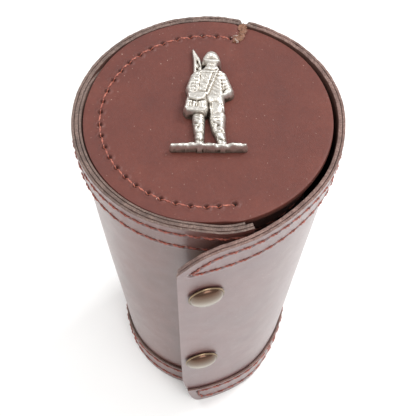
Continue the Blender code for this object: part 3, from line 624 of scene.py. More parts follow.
def dents(seams, hole_r, hole_depth, valley, lip):
    """Displacement of the leather round the seams' needle holes, and painted shade in the holes and thread
    valleys:
    a function of (station, height) that gives (sink, hole_shade)."""
    def dent(c, z):
        c, z = np.broadcast_arrays(c, z)
        sink, hole_shade = np.zeros(c.shape), np.zeros(c.shape)
        for seam in seams:
            here = seam.place(c, z, 0.0)
            a, ab = seam.holes[:-1], np.diff(seam.holes, axis=0)
            for i in range(0, len(c), BATCH):
                part = slice(i, i + BATCH)
                q = here[part]
                near = np.linalg.norm(q[:, None] - seam.holes[None], axis=2).min(1)
                hole = np.exp(-(near / hole_r) ** 2)
                rim = np.exp(-((near - hole_r * 1.9) / (hole_r * 0.8)) ** 2)
                t = np.clip(np.einsum("qik,ik->qi", q[:, None] - a[None], ab) / np.sum(ab * ab, 1), 0, 1)
                run = np.linalg.norm(q[:, None] - a[None] - t[..., None] * ab[None], axis=2).min(1)
                gulley = np.exp(-(run / GULLEY_R) ** 2)
                sink[part] += hole_depth * hole + valley * gulley - lip * rim
                # Painted shade: the holes, and the valleys of tight rows, are darkened.
                hole_shade[part] = np.maximum(hole_shade[part], np.clip(1.35 * hole, 0, 1))
                if valley > 0.1:
                    hole_shade[part] = np.maximum(hole_shade[part], 0.85 * gulley)
        return sink, hole_shade
    return dent


# ------------------------------------------------------------------ wall parts
def even(a, b, step):
    """Evenly spaced stations from a to b, about a step apart."""
    return np.linspace(a, b, max(2, int(abs(b - a) / step) + 1))


def with_end(stations, end, unit):
    """Adds close stations at the free end so that its corners can be rounded."""
    fine = np.array([0.24, 0.12, 0.04, 0.0]) * unit
    s = np.asarray(stations, float)
    return np.concatenate([s[s < end - 0.3 * unit], end - fine])


PANEL_SET = [WALL_LEATHER, RAW_EDGE, FLESH_SIDE]
FLAP_SET = [FLAP_LEATHER_PAINTED_SHEEN, FLAP_EDGE, FLESH_SIDE]
FOLD_U = STRIP / (HINGE_AZ - STRAIGHT_AZ)          # flap station of the strip's end
U_END = u_of_psi(edge_psi(CORNER_FOOT[1] + 1.2))
# Flap stations per millimetre, along the circle and along the flatter run.
U_MM = 1.0 / ((HINGE_AZ - STRAIGHT_AZ) * pi / 180 * R_TOP)
RUN_U_MM = 1.0 / (PSI_0 * RUN_R)


def hinge_place(az, z, off):
    """The strip across the fold line, as azimuth; its flap side follows the flap."""
    az = np.asarray(az, float)
    on_flap = az < HINGE_AZ
    u = (HINGE_AZ - az) / (HINGE_AZ - STRAIGHT_AZ)
    z = np.broadcast_to(z, az.shape)
    off = np.broadcast_to(off, az.shape)
    w = wall_place(az, z, off)
    f = flap_place(np.maximum(u, 0.0), z, off)
    return np.where(on_flap[:, None], f, w)


def level(value):
    """The same height at every station."""
    return lambda c: np.full(np.shape(c), float(value))


BAND_NOTCH, PANEL_NOTCH = (2.4, 0.95), (3.0, 0.8)       # depth and half width


def notched_rim(depth, half):
    """Rim height across the fold, with the torn notch."""
    mm = degrees(1 / R_TOP)
    return lambda az: HEIGHT - depth * np.exp(-np.abs((az - NOTCH_AZ) / (half * mm)) ** 2.4)


def flap_corner_path(top):
    """Row 1 along the flap and round its rounded corner, then row 2 back."""
    shape = CORNER_TOP if top else CORNER_FOOT
    pe, k = (PSI_EDGE_TOP, 1.0) if top else (PSI_EDGE_FOOT, K_FOOT)
    height = (lambda d: HEIGHT - d) if top else (lambda d: d)
    path = [(u, height(ROW_1)) for u in np.linspace(FOLD_U, 1.0, 60)]
    t0, last = (PSI_0 - pe) * RUN_R * k, 0.0
    for t in np.linspace(t0, 0.0, 200)[1:]:
        e = 0.02
        slope = (corner(t + e, shape) - corner(t, shape)) / e
        w = ROW_1 / sqrt(1 + slope * slope)
        d, tt = corner(t, shape) + w, t - slope * w
        if d > ROW_2 + (row_drop(tt) if top else 0.0) - ROW_MEET:
            break
        last = tt
        path.append((u_of_psi(pe + tt / (RUN_R * k)), height(d)))
    turn = u_of_psi(pe + (last + 0.5) / (RUN_R * k))
    back = []
    for u in np.linspace(turn, FOLD_U, 120):
        t = (PSI_0 * (2.0 - u) - pe) * RUN_R
        back.append((u, height(ROW_2 + (row_drop(t) if top else 0.0))))
    return path, back


# Needle holes of each seam: radius, depth, depth of the thread's valley, rise of the lip.
HOLE = (0.55, 0.6, 0.22, 0.08)
LID_HOLE = (0.6, 1.0, 0.04, 0.3)
BASE_HOLE = (0.45, 0.8, 0.7, 0.0)
CORNER_DROP = (2.6, 25.0)           # the inner stitch row sinks towards the flap's top corner
ROW_MEET = 0.6                      # where the outer row comes this near the inner one, it turns


def row_drop(t):
    """How far the inner row has sunk at t mm from the flap's end."""
    depth, reach = CORNER_DROP
    return depth * np.clip(1 - np.maximum(t, 0.0) / reach, 0, 1) ** 2


V_BAND = np.linspace(0, 1, 44)
V_PANEL = np.linspace(0, 1, 40)
STEP = 0.28                         # between the outer points of a sewn band
LEAST_BAND = 0.9                    # a band stops where it would be narrower
FOOT_SHARE, FOOT_WIDER = 0.76, 1.3  # a millimetre covers more stations at the foot
THREAD_R, THREAD_RISE = 0.33, 0.08
END_ROW = 2.4                       # the row across the wall's front end, from that end


def wall_band(name, top):
    """Band along the rim or foot of the fixed wall, with its rows of stitches."""
    z0 = HEIGHT - BAND_H if top else 0.0
    rows = [HEIGHT - ROW_1, HEIGHT - ROW_2] if top else [ROW_1, ROW_2]
    a0, a1 = HINGE_AZ + STRIP, WALL_END_AZ
    mm = degrees(1 / outside_radius(z0 + BAND_H / 2))
    az = with_end(even(a0, a1, STEP * mm), a1, mm)
    turn = a1 - END_ROW * mm
    outer = Seam(wall_place, [(a, rows[0]) for a in even(a0, turn, 1.0)])
    inner = Seam(wall_place, [(a, rows[1]) for a in even(a0, turn, 1.0)])
    across = Seam(wall_place, [(turn, rows[0]), (turn, rows[1])], jitter=0.0)
    seams = [outer, inner, across]
    ob = sheet(name, wall_place, az, level(z0), level(z0 + BAND_H), 0.0, BAND_T, PANEL_SET, V_BAND,
               dents(seams, *HOLE), to_end=(a1 - az) / mm, lip=BAND_LIP)
    threads = [sew(f"{name}_stitch_{i}", s, THREAD_R, THREAD_RISE) for i, s in enumerate(seams)]
    return [ob] + threads


def flap_band_foot(u):
    """Lower edge of the flap's rim band."""
    return HEIGHT - BAND_H - row_drop((PSI_0 * (2.0 - u) - PSI_EDGE_TOP) * RUN_R)


def flap_band(name, top):
    """Band along the rim or foot of the flap, with its rows of stitches."""
    z = flap_band_foot if top else level(BAND_H)
    mm = U_MM if top else U_MM / FOOT_SHARE
    run_mm = RUN_U_MM if top else RUN_U_MM * FOOT_WIDER
    u = np.concatenate([even(FOLD_U, 1.0, STEP * mm), even(1.0, 1.97, STEP * run_mm)[1:]])
    tall = (flap_rim(u) - flap_band_foot(u)) if top else (BAND_H - flap_foot(u))
    u = u[tall > LEAST_BAND]
    out_path, back_path = flap_corner_path(top)
    seams = [Seam(flap_place, out_path), Seam(flap_place, back_path)]
    lo, hi = (z, flap_rim) if top else (flap_foot, z)
    tip = (u[-1] - u) / run_mm + 0.05
    ob = sheet(name, flap_place, u, lo, hi, 0.0, BAND_T, FLAP_SET, V_BAND,
               dents(seams, *HOLE), to_end=tip, lip=BAND_LIP)
    threads = [sew(f"{name}_stitch_{i}", s, THREAD_R, THREAD_RISE) for i, s in enumerate(seams)]
    return [ob] + threads


def strip_band(name, top):
    """Band and stitches across the fold line."""
    z0 = HEIGHT - BAND_H if top else 0.0
    rows = [HEIGHT - ROW_1, HEIGHT - ROW_2] if top else [ROW_1, ROW_2]
    a0, a1 = HINGE_AZ - STRIP, HINGE_AZ + STRIP
    mm = degrees(1 / outside_radius(z0 + BAND_H / 2))
    az = even(a1, a0, STEP * mm)[::-1]
    seams = [Seam(hinge_place, [(a, z) for a in even(a0, a1, 1.0)], jitter=0.0) for z in rows]
    hi = notched_rim(*BAND_NOTCH) if top else level(z0 + BAND_H)
    ob = sheet(name, hinge_place, az, level(z0), hi, 0.0, BAND_T, PANEL_SET, V_BAND,
               dents(seams, *HOLE), lip=BAND_LIP)
    return [ob] + [sew(f"{name}_stitch_{i}", s, THREAD_R, THREAD_RISE) for i, s in enumerate(seams)]


def across_fold(ob):
    """Bakes a piece's placement into its mesh; the piece is not bent, and the middle of the fold line that
    it works out is not used.
    """
    mid = Vector(polar(outside_radius(HEIGHT / 2), HINGE_AZ, HEIGHT / 2)) * MM
    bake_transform(ob)


def make_wall():
    """Fixed wall with its bands, and the strip of leather that bends at the fold."""
    az = with_end(even(HINGE_AZ + STRIP, WALL_END_AZ, 1.0), WALL_END_AZ, 1.5)
    panel = sheet("fixed_wall", wall_place, az, level(0), level(HEIGHT), PANEL_OUT, PANEL_IN, PANEL_SET,
                  V_PANEL, to_end=(WALL_END_AZ - az) / 1.5)
    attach(panel, "case")
    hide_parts("wall_panel")
    for top, band_node, thread_node in ((True, "wall_top_band", "wall_top_thread"),
                                        (False, "wall_bottom_band", "wall_bottom_thread")):
        parts = wall_band("wall_rim_band" if top else "wall_foot_band", top)
        for i, ob in enumerate(parts):
            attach(ob, "case")
            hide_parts(thread_node if i else band_node)
    strip = sheet("fold_strip", hinge_place, even(HINGE_AZ - STRIP, HINGE_AZ + STRIP, 0.3), level(0),
                  notched_rim(*PANEL_NOTCH), PANEL_OUT, PANEL_IN, PANEL_SET, V_PANEL)
    across_fold(strip)
    for top in (True, False):
        for i, ob in enumerate(strip_band("fold_rim_band" if top else "fold_foot_band", top)):
            across_fold(ob)


def make_flap():
    """Flap with its bands."""
    u = np.concatenate([even(FOLD_U, 1.0, 0.9 * U_MM), even(1.0, U_END, 0.7 * RUN_U_MM)[1:]])
    u = with_end(u, U_END, RUN_U_MM)
    panel = sheet("flap_wall", flap_place, u, flap_foot, flap_rim, PANEL_OUT, PANEL_IN, FLAP_SET, V_PANEL)
    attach(panel, "flap")
    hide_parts("flap_panel")
    for top, band_node, thread_node in ((True, "flap_top_band", "flap_top_thread"),
                                        (False, "flap_bottom_band", "flap_bottom_thread")):
        for i, ob in enumerate(flap_band("flap_rim_band" if top else "flap_foot_band", top)):
            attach(ob, "flap")
            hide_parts(thread_node if i else band_node)


# ------------------------------------------------------------------ lid and base
CENTRE_R = 0.01                # radius of the ring that closes a disc's middle
RISE_FROM = 18.0               # radius at which the lid starts to rise towards its lap
EDGE_ROUND = 0.28              # how far a disc's face stops short of its edge
LAP, LAP_RISE = 1.0, 0.55      # how far the lid laps over the welt at the back, and rises there
WELT_LEG = 3.1                 # how far a welt's flat leg reaches inside the seam
WELT_BEND = 0.8                # thickness of that leg
WELT_LOW = 1.9                 # how far the welt is pared down under the lap
BASE_T = 2.2
BASE_CLEAR = 0.05                    # the base stands this far off the table


FREE_FROM, FREE_TO = (-84.0, 10.0), (75.5, 5.0)      # azimuth, and degrees to ease over
LAP_FROM, LAP_TO = (71.0, 6.0), (170.0, 50.0)


def lid_radius(az):
    """The lid is cut wider under the flap, and laps onto the welt at the back."""
    a = (np.asarray(az) + 100.0) % 360.0 - 100.0
    free = between(a, FREE_FROM, FREE_TO)
    back = between(a, LAP_FROM, LAP_TO)
    return LID_R + (LID_FREE_R - LID_R) * free + LAP * back, LAP_RISE * back


def base_radius(az):
    return BASE_R + 0 * az, 0 * az


def disc_with_seam(name, radius_at, z_top, thickness, seam_r, face_up, materials, hole, sewn):
    """Leather disc with a sewn ring; the sewn face has its needle holes."""
    out = 1.0 if face_up else -1.0
    az = np.concatenate([even(sewn[0] - 3, sewn[1] + 3, 0.36), even(sewn[1] + 4.5, sewn[0] + 355.5, 1.4)])
    radius, lift = radius_at(az)
    sewn_zone = even(seam_r - 2.4, seam_r + 2.2, 0.17)
    inner = np.concatenate([[CENTRE_R, 6, 12, 18, 24], sewn_zone])
    inner = np.unique(np.round(inner[inner < seam_r + 2.3], 4))

    def face_place(a, r, off):
        wide, up = radius_at(a)
        rise = up * smooth((r - RISE_FROM) / (wide - RISE_FROM - 1))
        return polar(r, a, z_top - out * off + rise)

    seam = Seam(face_place, [(a, seam_r) for a in even(sewn[0], sewn[1], 0.5)], jitter=0.22)
    dent = dents([seam], *hole)
    clear = np.zeros(az.shape)
    # Painted shade of the needle holes, at each point.
    loops, hole_shade = [], []
    for r in inner:
        sink, dark = dent(az, np.full(az.shape, r))
        loops.append(face_place(az, np.full(az.shape, r), sink))
        hole_shade.append(dark)
    for t in (0.25, 0.5, 0.75, 1.0):
        r = inner[-1] + (radius - EDGE_ROUND - inner[-1]) * t
        loops.append(face_place(az, r, 0.0))
        hole_shade.append(clear)
    for t in np.linspace(0, pi, 11)[1:]:
        zz = z_top - out * (thickness / 2) + out * np.cos(t) * thickness / 2 + lift
        rr = radius - EDGE_ROUND + EDGE_ROUND * np.sin(t) ** 0.6
        loops.append(polar(rr, az, zz))
        hole_shade.append(clear)
    loops.append(polar(CENTRE_R, az, z_top - out * thickness))
    hole_shade.append(clear)
    pts = np.array(loops)
    n, m = pts.shape[:2]
    rim = np.zeros(n - 1, int)
    rim[len(inner) + 6:len(inner) + 12] = 1
    index = np.concatenate([np.repeat(rim, m), [0, 0]])
    ob = piece(name, pts.reshape(-1, 3), loops_to_faces(n, m), materials, index, 50.0,
               {"hole_shade": np.array(hole_shade).reshape(-1)})
    bm = bmesh.new()
    bm.from_mesh(ob.data)
    bmesh.ops.recalc_face_normals(bm, faces=bm.faces[:])
    bm.to_mesh(ob.data)
    bm.free()
    return ob, seam


def make_lid():
    """Lid, sewn with large hand stitches round the left side and the back."""
    lid, seam = disc_with_seam("lid_leather", lid_radius, LID_TOP, LID_T, LID_SEAM_R, True,
                               [LID_LEATHER, DYED_EDGE], LID_HOLE, (SEWN[0] - 0.6, SEWN[1] - 1.5))
    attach(lid, "case")
    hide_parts("lid_disc")
    thread = sew("lid_stitches", seam, 0.23, 0.06, 0.8, (0, 0, 1), 17, 0.12, LID_THREAD)
    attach(thread, "case")
    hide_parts("lid_thread")


def make_base():
    """Base, sewn like the lid, its stitches pressed in so that the case stands flat."""
    base, seam = disc_with_seam("base_leather", base_radius, BASE_CLEAR, BASE_T - BASE_CLEAR,
                                BASE_SEAM_R, False, [WALL_LEATHER, RAW_EDGE], BASE_HOLE,
                                (SEWN[0] + 0.6, SEWN[1] - 1.5))
    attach(base, "case")
    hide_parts("base_disc")
    thread = sew("base_stitches", seam, 0.2, -0.3, 0.4, (0, 0, -1), 17)
    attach(thread, "case")
    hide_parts("base_thread")


def welt_section(seam_r, z_face, z_back, r_end, z_end):
    """A leg under the disc, sewn to it, and a leg along the inside of the wall."""
    leg = seam_r - WELT_LEG
    return [(leg, z_back), (outside_radius(z_back) - WELT_OUT, z_back), (r_end - WELT_OUT, z_end),
            (r_end - WELT_IN, z_end), (outside_radius(z_face) - WELT_IN, z_face), (leg, z_face)]


def make_welts():
    """Angle strips that the lid and base are sewn to."""
    z_face = LID_TOP - LID_T - GLUE
    section = welt_section(LID_SEAM_R, z_face, LID_TOP - LID_T - GLUE - WELT_BEND, R_TOP, HEIGHT)
    lid = turned("lid_welt", soft_profile(section, 0.2), SEWN, 260, [RAW_EDGE])
    for v in lid.data.vertices:
        x, y, z = np.array(v.co) / MM
        r, az = np.hypot(x, y), degrees(atan2(y, x)) % 360.0
        if r > LID_R:
            k = 1 + float(flare(az, z)) / r
            lap = (lid_radius(az)[0] - LID_R) if az < 180 else 0.0
            low = WELT_LOW * float(smooth(lap / 0.5)) * max(0.0, (z - z_face) / (HEIGHT - z_face))
            v.co = Vector((x * k, y * k, z - low)) * MM
    section = welt_section(BASE_SEAM_R, BASE_T + GLUE, BASE_T + GLUE + WELT_BEND, R_FOOT, 0.02)
    base = turned("base_welt", soft_profile(section[::-1], 0.2), SEWN, 260, [RAW_EDGE])
    for ob, cad in ((lid, "lid_gusset"), (base, "base_gusset")):
        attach(ob, "case")
        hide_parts(cad)


def make_knot():
    """Raw end of the fold: torn fibres and the knotted thread end that run
    from the rim's notch down to the last lid stitch."""
    rng = np.random.default_rng(3)
    # Radius, azimuth, height over the lid and half width along the torn strip.
    strip = [(38.9, 72.7, -1.0, 0.7), (38.1, 72.6, 0.0, 0.95), (37.2, 72.3, 0.35, 1.05),
             (35.7, 71.4, 0.3, 1.0), (34.3, 71.3, 0.25, 0.9), (33.0, 71.9, 0.2, 1.0),
             (31.9, 72.5, 0.2, 1.05), (30.8, 72.9, 0.15, 0.8)]
    steps, sides = 60, 20
    fine = np.linspace(0, len(strip) - 1, steps)
    r, az, h, w = (np.interp(fine, range(len(strip)), column) for column in zip(*strip))
    mid = polar(r, az, LID_TOP + h)
    mid[:, :2] += blur_run(rng.normal(0, 0.35, (steps, 2)), 2.0)
    run = np.gradient(mid, axis=0)
    side = np.cross(run, (0, 0, 1.0))
    side /= np.linalg.norm(side, axis=1)[:, None]
    t = np.linspace(0, 2 * pi, sides, endpoint=False)
    lump = 1 + 0.5 * blur_run(rng.normal(0, 1, (steps, sides)), 1.2)
    ring = (side[:, None] * (np.cos(t)[None, :, None] * w[:, None, None])
            + np.array((0, 0, 1.0)) * (0.5 * np.sin(t))[None, :, None]) * lump[..., None]
    torn = piece("torn_fold_end", (mid[:, None] + ring).reshape(-1, 3), loops_to_faces(steps, sides),
                 [TORN], None, 80.0)
    verts, faces = [], []
    # Start and end of each loose thread: radius and azimuth.
    ends = ((32.2, 76.2, 33.3, 72.6), (32.0, 74.4, 30.6, 72.0), (31.2, 73.8, 30.9, 71.4))
    f = np.linspace(0, 1, 14)
    for r0, a0, r1, a1 in ends:
        rise = LID_TOP + 0.15 + 0.55 * np.sin(pi * f)
        path = polar(r0 + (r1 - r0) * f, a0 + (a1 - a0) * f, rise)
        v, g = two_ply(path, np.tile((0, 0, 1.0), (len(f), 1)), 0.26, 1.2)
        faces += shifted(g, sum(len(q) for q in verts))
        verts.append(v)
    knot = piece("lid_thread_knot", np.concatenate(verts), faces, [PALE_THREAD], None, 60.0)
    for ob, finish in ((torn, "lid_leather"), (knot, "thread")):
        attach(ob, "case")


def blur_run(a, sigma):
    """Smooths values along their first axis."""
    k = np.exp(-0.5 * (np.arange(-8, 9) / sigma) ** 2)
    k /= k.sum()
    return np.apply_along_axis(lambda v: np.convolve(np.pad(v, 8, mode="edge"), k, "valid"), 0, a)


# ------------------------------------------------------------------ press studs
STUDS = (("upper", 96.0, 0.0), ("lower", 42.0, -1.7))     # height, and shift to the side
CAP_R, DOME_FOOT, DOME_RISE = 5.15, 0.75, 2.2
ROLL_AT, ROLL_W, ROLL_H = (5.35, 0.62), 0.3, 0.34           # rolled rim: middle, half width, half height
CAP_FOOT, SHANK_R, SHANK_L = 0.12, 1.3, 2.0


def make_caps():
    """Domed caps with a rolled rim, on the flap's own surface."""
    dome = [(CAP_R * np.sin(t), DOME_FOOT + DOME_RISE * np.cos(t))
            for t in np.linspace(0, pi / 2 * 0.95, 14)]
    roll = [(ROLL_AT[0] + ROLL_W * np.cos(t), ROLL_AT[1] + ROLL_H * np.sin(t))
            for t in np.linspace(pi * 0.62, -pi * 0.42, 10)]
    under = [(4.9, CAP_FOOT), (SHANK_R, CAP_FOOT), (SHANK_R, -SHANK_L), (0.0, -SHANK_L)]
    finish = [0] * (len(dome) - 1) + [1] * (len(roll) + len(under) + 1)
    for tag, z, x in STUDS:
        k = outside_radius(z) / R_TOP
        u = u_of_psi(np.arcsin((x / k - RUN_CX) / RUN_R))
        at = flap_place(np.array([u]), np.array([z]), PANEL_OUT)[0]
        _, _, nx, ny = flap_plan(np.array([u]))
        n = Vector((nx[0], ny[0], -(R_TOP - R_FOOT) / HEIGHT)).normalized()
        e1 = Vector((0, 0, 1)).cross(n).normalized()
        axes = np.array(Matrix((e1, n.cross(e1), n)).transposed())
        cap = turned(f"stud_cap_{tag}", dome + roll + under, None, 72, [BRASS, BRASS_RIM], finish, at, axes)
        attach(cap, "flap")
        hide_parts("cap_" + tag)
        for fitting in ("socket_" + tag, "stud_" + tag, "rivet_" + tag):
            paint(fitting, BRIGHT_BRASS)


def paint(cad, mat):
    """Gives a CAD node its finished material."""
    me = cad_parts[cad].data
    me.materials.clear()
    me.materials.append(mat)


# ------------------------------------------------------------------ the figure
STRETCH = 1.095      # drawn height of the figure to its cast height
FEET_Y = -12.0
BAR_FOOT_Y = -13.6
BADGE_SHIFT = 0.6    # towards the back of the lid
PIN_GAP = 0.12       # between the lid and the figure's back
FLAT = 0.3           # least height of the casting
SKIRT = 0.25         # how far its outline is trued to the drawn one
FAR = 99.0


def blurred(a, sigma):
    """Smooths a height map along both of its axes."""
    r = int(3 * sigma) + 1
    k = np.exp(-0.5 * (np.arange(-r, r + 1) / sigma) ** 2)
    k /= k.sum()
    pad = np.pad(a, r, mode="edge")
    pad = np.apply_along_axis(lambda v: np.convolve(v, k, "same"), 0, pad)
    pad = np.apply_along_axis(lambda v: np.convolve(v, k, "same"), 1, pad)
    return pad[r:-r, r:-r]


class Relief:
    """Height map of the cast figure, built up in outlined parts."""

    def __init__(self, x0, x1, y0, y1, step):
        self.step = step
        self.x, self.y = np.meshgrid(np.arange(x0, x1, step), np.arange(y0, y1, step / STRETCH),
                                     indexing="ij")
        self.h = np.zeros_like(self.x)
        self.out = np.full_like(self.x, FAR)

    def rod(self, *pts):
        """Distance outside a chain of (x, y, radius) points."""
        best = np.full_like(self.x, FAR)
        for (ax, ay, ar), (bx, by, br) in zip(pts[:-1], pts[1:]):
            dx, dy = bx - ax, by - ay
            t = np.clip(((self.x - ax) * dx + (self.y - ay) * dy) / (dx * dx + dy * dy + 1e-9), 0, 1)
            d = np.hypot(self.x - ax - t * dx, self.y - ay - t * dy) - (ar + t * (br - ar))
            best = np.minimum(best, d)
        return best

    def oval(self, cx, cy, rx, ry, tilt=0.0):
        """About the distance outside an oval, tilted by some degrees."""
        c, s = np.cos(radians(tilt)), np.sin(radians(tilt))
        px, py = self.x - cx, self.y - cy
        a, b = (px * c + py * s) / rx, (-px * s + py * c) / ry
        r = np.sqrt(a * a + b * b) + 1e-9
        return (r - 1) * r / np.sqrt((a / rx) ** 2 + (b / ry) ** 2 + 1e-9)

    def outline(self, pts, soften=0.3):
        """Distance outside a closed outline, its corners softened."""
        p = np.array(pts, float)
        d = np.full_like(self.x, FAR)
        inside = np.zeros(self.x.shape, bool)
        for (ax, ay), (bx, by) in zip(p, np.roll(p, -1, 0)):
            dx, dy = bx - ax, by - ay
            t = np.clip(((self.x - ax) * dx + (self.y - ay) * dy) / (dx * dx + dy * dy), 0, 1)
            d = np.minimum(d, np.hypot(self.x - ax - t * dx, self.y - ay - t * dy))
            cross = ((ay > self.y) != (by > self.y)) & (
                self.x < (bx - ax) * (self.y - ay) / (by - ay + 1e-12) + ax)
            inside ^= cross
        return np.where(inside, -d, d) - soften

    def line(self, *pts):
        """Distance from a polyline."""
        return self.rod(*[(x, y, 0.0) for x, y in pts])

    def cast(self, d, top, shoulder, round_r):
        """Adds a part: top height, height at its outline, and how far in it rounds."""
        f = np.clip(-d / round_r, 0, 1)
        h = shoulder + (top - shoulder) * np.sqrt(np.clip(1 - (1 - f) ** 2, 0, 1))
        self.h = np.maximum(self.h, np.where(d < 0, h, 0.0))
        self.out = np.minimum(self.out, d)
        return d < 0

    def groove(self, d, depth, width, where=True):
        self.h = self.h - depth * np.exp(-(d / width) ** 2) * where

    def ridge(self, d, rise, half, where=True):
        self.h = self.h + rise * np.clip((half - d) / 0.08 + 0.5, 0, 1) * where

    def folds(self, where, direction, spacing, depth, seed, wander=1.2):
        """Soft parallel folds of cloth."""
        rng = np.random.default_rng(seed)
        w = blurred(rng.normal(0, 1, self.x.shape), 9)
        w = w / w.std()
        a = radians(direction)
        phase = (self.x * np.cos(a) + self.y * np.sin(a)) * 2 * pi / spacing + wander * w
        edge = blurred(where.astype(float), 4)
        self.h = self.h + depth * (np.abs(np.sin(phase / 2)) ** 0.7 - 0.6) * edge * where


def cast_gun(r):
    """Gun, behind the shoulder: a tapering blade with a scroll-cut lock."""
    gun = r.outline([(-4.5, 21.5), (-3.85, 21.3), (-1.9, 17.8), (-1.2, 15.0), (-1.4, 12.8), (-4.0, 12.6),
                     (-4.05, 17.4)], 0.12)
    r.cast(gun, 1.9, 0.55, 0.8)
    r.groove(r.line((-3.9, 20.2), (-2.9, 16.9), (-3.0, 13.0)), 0.5, 0.16)
    r.groove(r.line((-2.9, 17.2), (-2.2, 15.2), (-2.9, 14.2), (-2.1, 13.4)), 0.7, 0.2)


def cast_leg(r, hip, knee, calf, heel, crease, seed):
    """A leg in breeches, gathered at the knee, and its boot."""
    on = r.cast(r.rod(hip, knee, calf), 2.9, 0.7, 1.72)
    r.folds(on & (r.y < -3.0) & (r.y > -8.2), crease, 1.35, 0.55, seed, 1.6)
    x, y, _ = knee
    gathers = r.line((x - 1.4, y + 1.4), (x + 0.2, y + 0.5), (x - 0.7, y - 0.6), (x + 1.1, y - 1.3))
    r.groove(gathers, 0.6, 0.26)
    r.groove(r.line((x - 1.5, y - 2.0), (x + 1.6, y - 1.7)), 0.7, 0.2)
    r.cast(r.rod(calf, heel), 2.6, 0.65, 1.38)
    x, y, _ = heel
    r.groove(r.line((x - 1.3, y + 2.2), (x + 0.4, y + 1.5), (x + 1.3, y + 2.1)), 0.8, 0.22)


def cast_seat(r):
    """Seat of the breeches, with its seams."""
    r.cast(r.oval(2.7, 0.2, 2.75, 3.2), 3.2, 0.8, 1.84)
    r.cast(r.oval(-1.6, 0.0, 2.6, 3.0), 3.0, 0.8, 1.84)
    r.groove(r.line((0.6, -1.0), (0.5, -5.0)), 1.2, 0.3)
    r.groove(r.line((4.5, 2.2), (4.9, -1.4)), 0.5, 0.14)
    r.groove(r.line((5.0, 2.0), (5.4, -1.6)), 0.4, 0.12)
    r.groove(r.line((1.3, 1.0), (1.7, -2.6)), 0.35, 0.15)


def cast_jacket(r):
    """Shoulders, back and skirts, then the arms: left hand to the gun, right elbow out."""
    coat = r.outline([(-0.7, 13.4), (-3.4, 12.4), (-4.9, 10.4), (-4.9, 5.6), (-4.2, 2.0), (0.6, 1.2),
                      (4.9, 1.4), (5.3, 5.0), (6.0, 9.2), (5.1, 11.9), (3.5, 13.2), (1.4, 13.8)], 0.35)
    on = r.cast(coat, 3.9, 1.3, 2.2)
    r.folds(on & (r.x > 1.6) & (r.y < 10.0), 62, 1.3, 0.24, 11)
    r.folds(on & (r.x < 1.2) & (r.y < 10.6), 38, 1.5, 0.2, 12)
    r.groove(r.line((-1.7, 11.6), (-2.4, 5.0), (-0.2, 4.7), (1.9, 11.3)), 0.38, 0.13)
    r.groove(r.line((-1.5, 11.4), (3.2, 11.2)), 0.3, 0.13)
    on = r.cast(r.rod((-3.5, 10.6, 1.7), (-4.7, 6.8, 1.65), (-4.4, 4.6, 1.35)), 3.5, 0.8, 1.61)
    r.folds(on, 70, 1.15, 0.34, 21)
    on = r.cast(r.rod((4.6, 10.6, 1.8), (6.6, 5.7, 1.6), (5.1, 4.3, 1.0)), 3.6, 0.8, 1.72)
    r.folds(on, 110, 1.2, 0.42, 22, 1.8)
    r.groove(r.line((4.4, 8.8), (4.7, 6.2), (5.0, 4.9)), 0.45, 0.25)
    r.groove(r.line((-3.4, 9.6), (-3.5, 5.0)), 0.28, 0.2)


def cast_bag(r):
    """Strap from the right shoulder, and the game bag with its flap, pleats and piping."""
    strap = r.line((3.5, 12.6), (2.2, 9.0), (0.2, 3.6))
    worn = (r.y > 2.8) & (r.y < 12.8)
    r.ridge(strap, 0.42, 0.34, worn)
    r.groove(np.abs(strap - 0.42), 0.32, 0.1, worn)
    bag = r.outline([(-5.9, 2.8), (-6.6, -0.8), (-5.9, -1.8), (-0.3, -2.1), (0.35, -1.0), (0.0, 3.2)], 0.35)
    r.cast(bag, 4.3, 1.1, 1.15)
    r.ridge(r.line((-6.4, -0.9), (-5.8, -1.7), (-0.5, -1.95), (0.2, -0.9)), 0.3, 0.22)
    for x in (-4.9, -4.2, -3.2, -2.6):
        r.groove(r.line((x, 1.0), (x - 0.15, -0.7)), 0.5, 0.13)
    r.groove(r.line((-2.3, 0.6), (-2.2, -1.0), (-0.9, -1.1), (-0.8, 0.7)), 0.35, 0.12)
    lid = r.outline([(-5.6, 3.6), (-5.2, 1.9), (-2.8, 1.25), (-0.5, 1.9), (-0.1, 3.9)], 0.3)
    r.cast(lid, 4.9, 2.05, 0.57)
    r.groove(r.line((-5.4, 1.8), (-2.8, 1.0), (-0.4, 1.7)), 0.6, 0.14)
    r.ridge(r.line((-3.0, 1.9), (-3.0, 0.4)), 0.35, 0.3)


def cast_head(r):
    """Collar, the hair at the back of the neck, and a soft hat."""
    r.cast(r.oval(1.4, 13.0, 2.5, 0.95), 4.0, 1.2, 0.8)
    r.groove(r.line((-0.8, 12.5), (1.4, 12.1), (3.6, 12.4)), 0.45, 0.14)
    on = r.cast(r.oval(1.5, 14.6, 2.0, 1.7), 3.6, 0.9, 1.38)
    r.folds(on, 5, 0.55, 0.22, 31, 0.6)
    r.cast(r.oval(1.5, 15.5, 2.95, 0.95, -4.0), 4.4, 1.3, 0.69)
    crown = r.outline([(-1.1, 15.9), (-0.9, 17.6), (0.1, 19.1), (1.5, 19.6), (2.9, 19.0), (3.8, 17.4),
                       (4.0, 15.8)], 0.3)
    r.cast(crown, 4.5, 1.1, 2.3)
    r.groove(r.line((-1.2, 16.3), (1.5, 15.9), (4.1, 16.1)), 0.55, 0.14)
    r.groove(r.line((-1.1, 17.1), (1.5, 16.8), (4.0, 16.9)), 0.35, 0.12)
    r.groove(r.line((1.5, 19.7), (1.5, 17.0)), 0.2, 0.14)


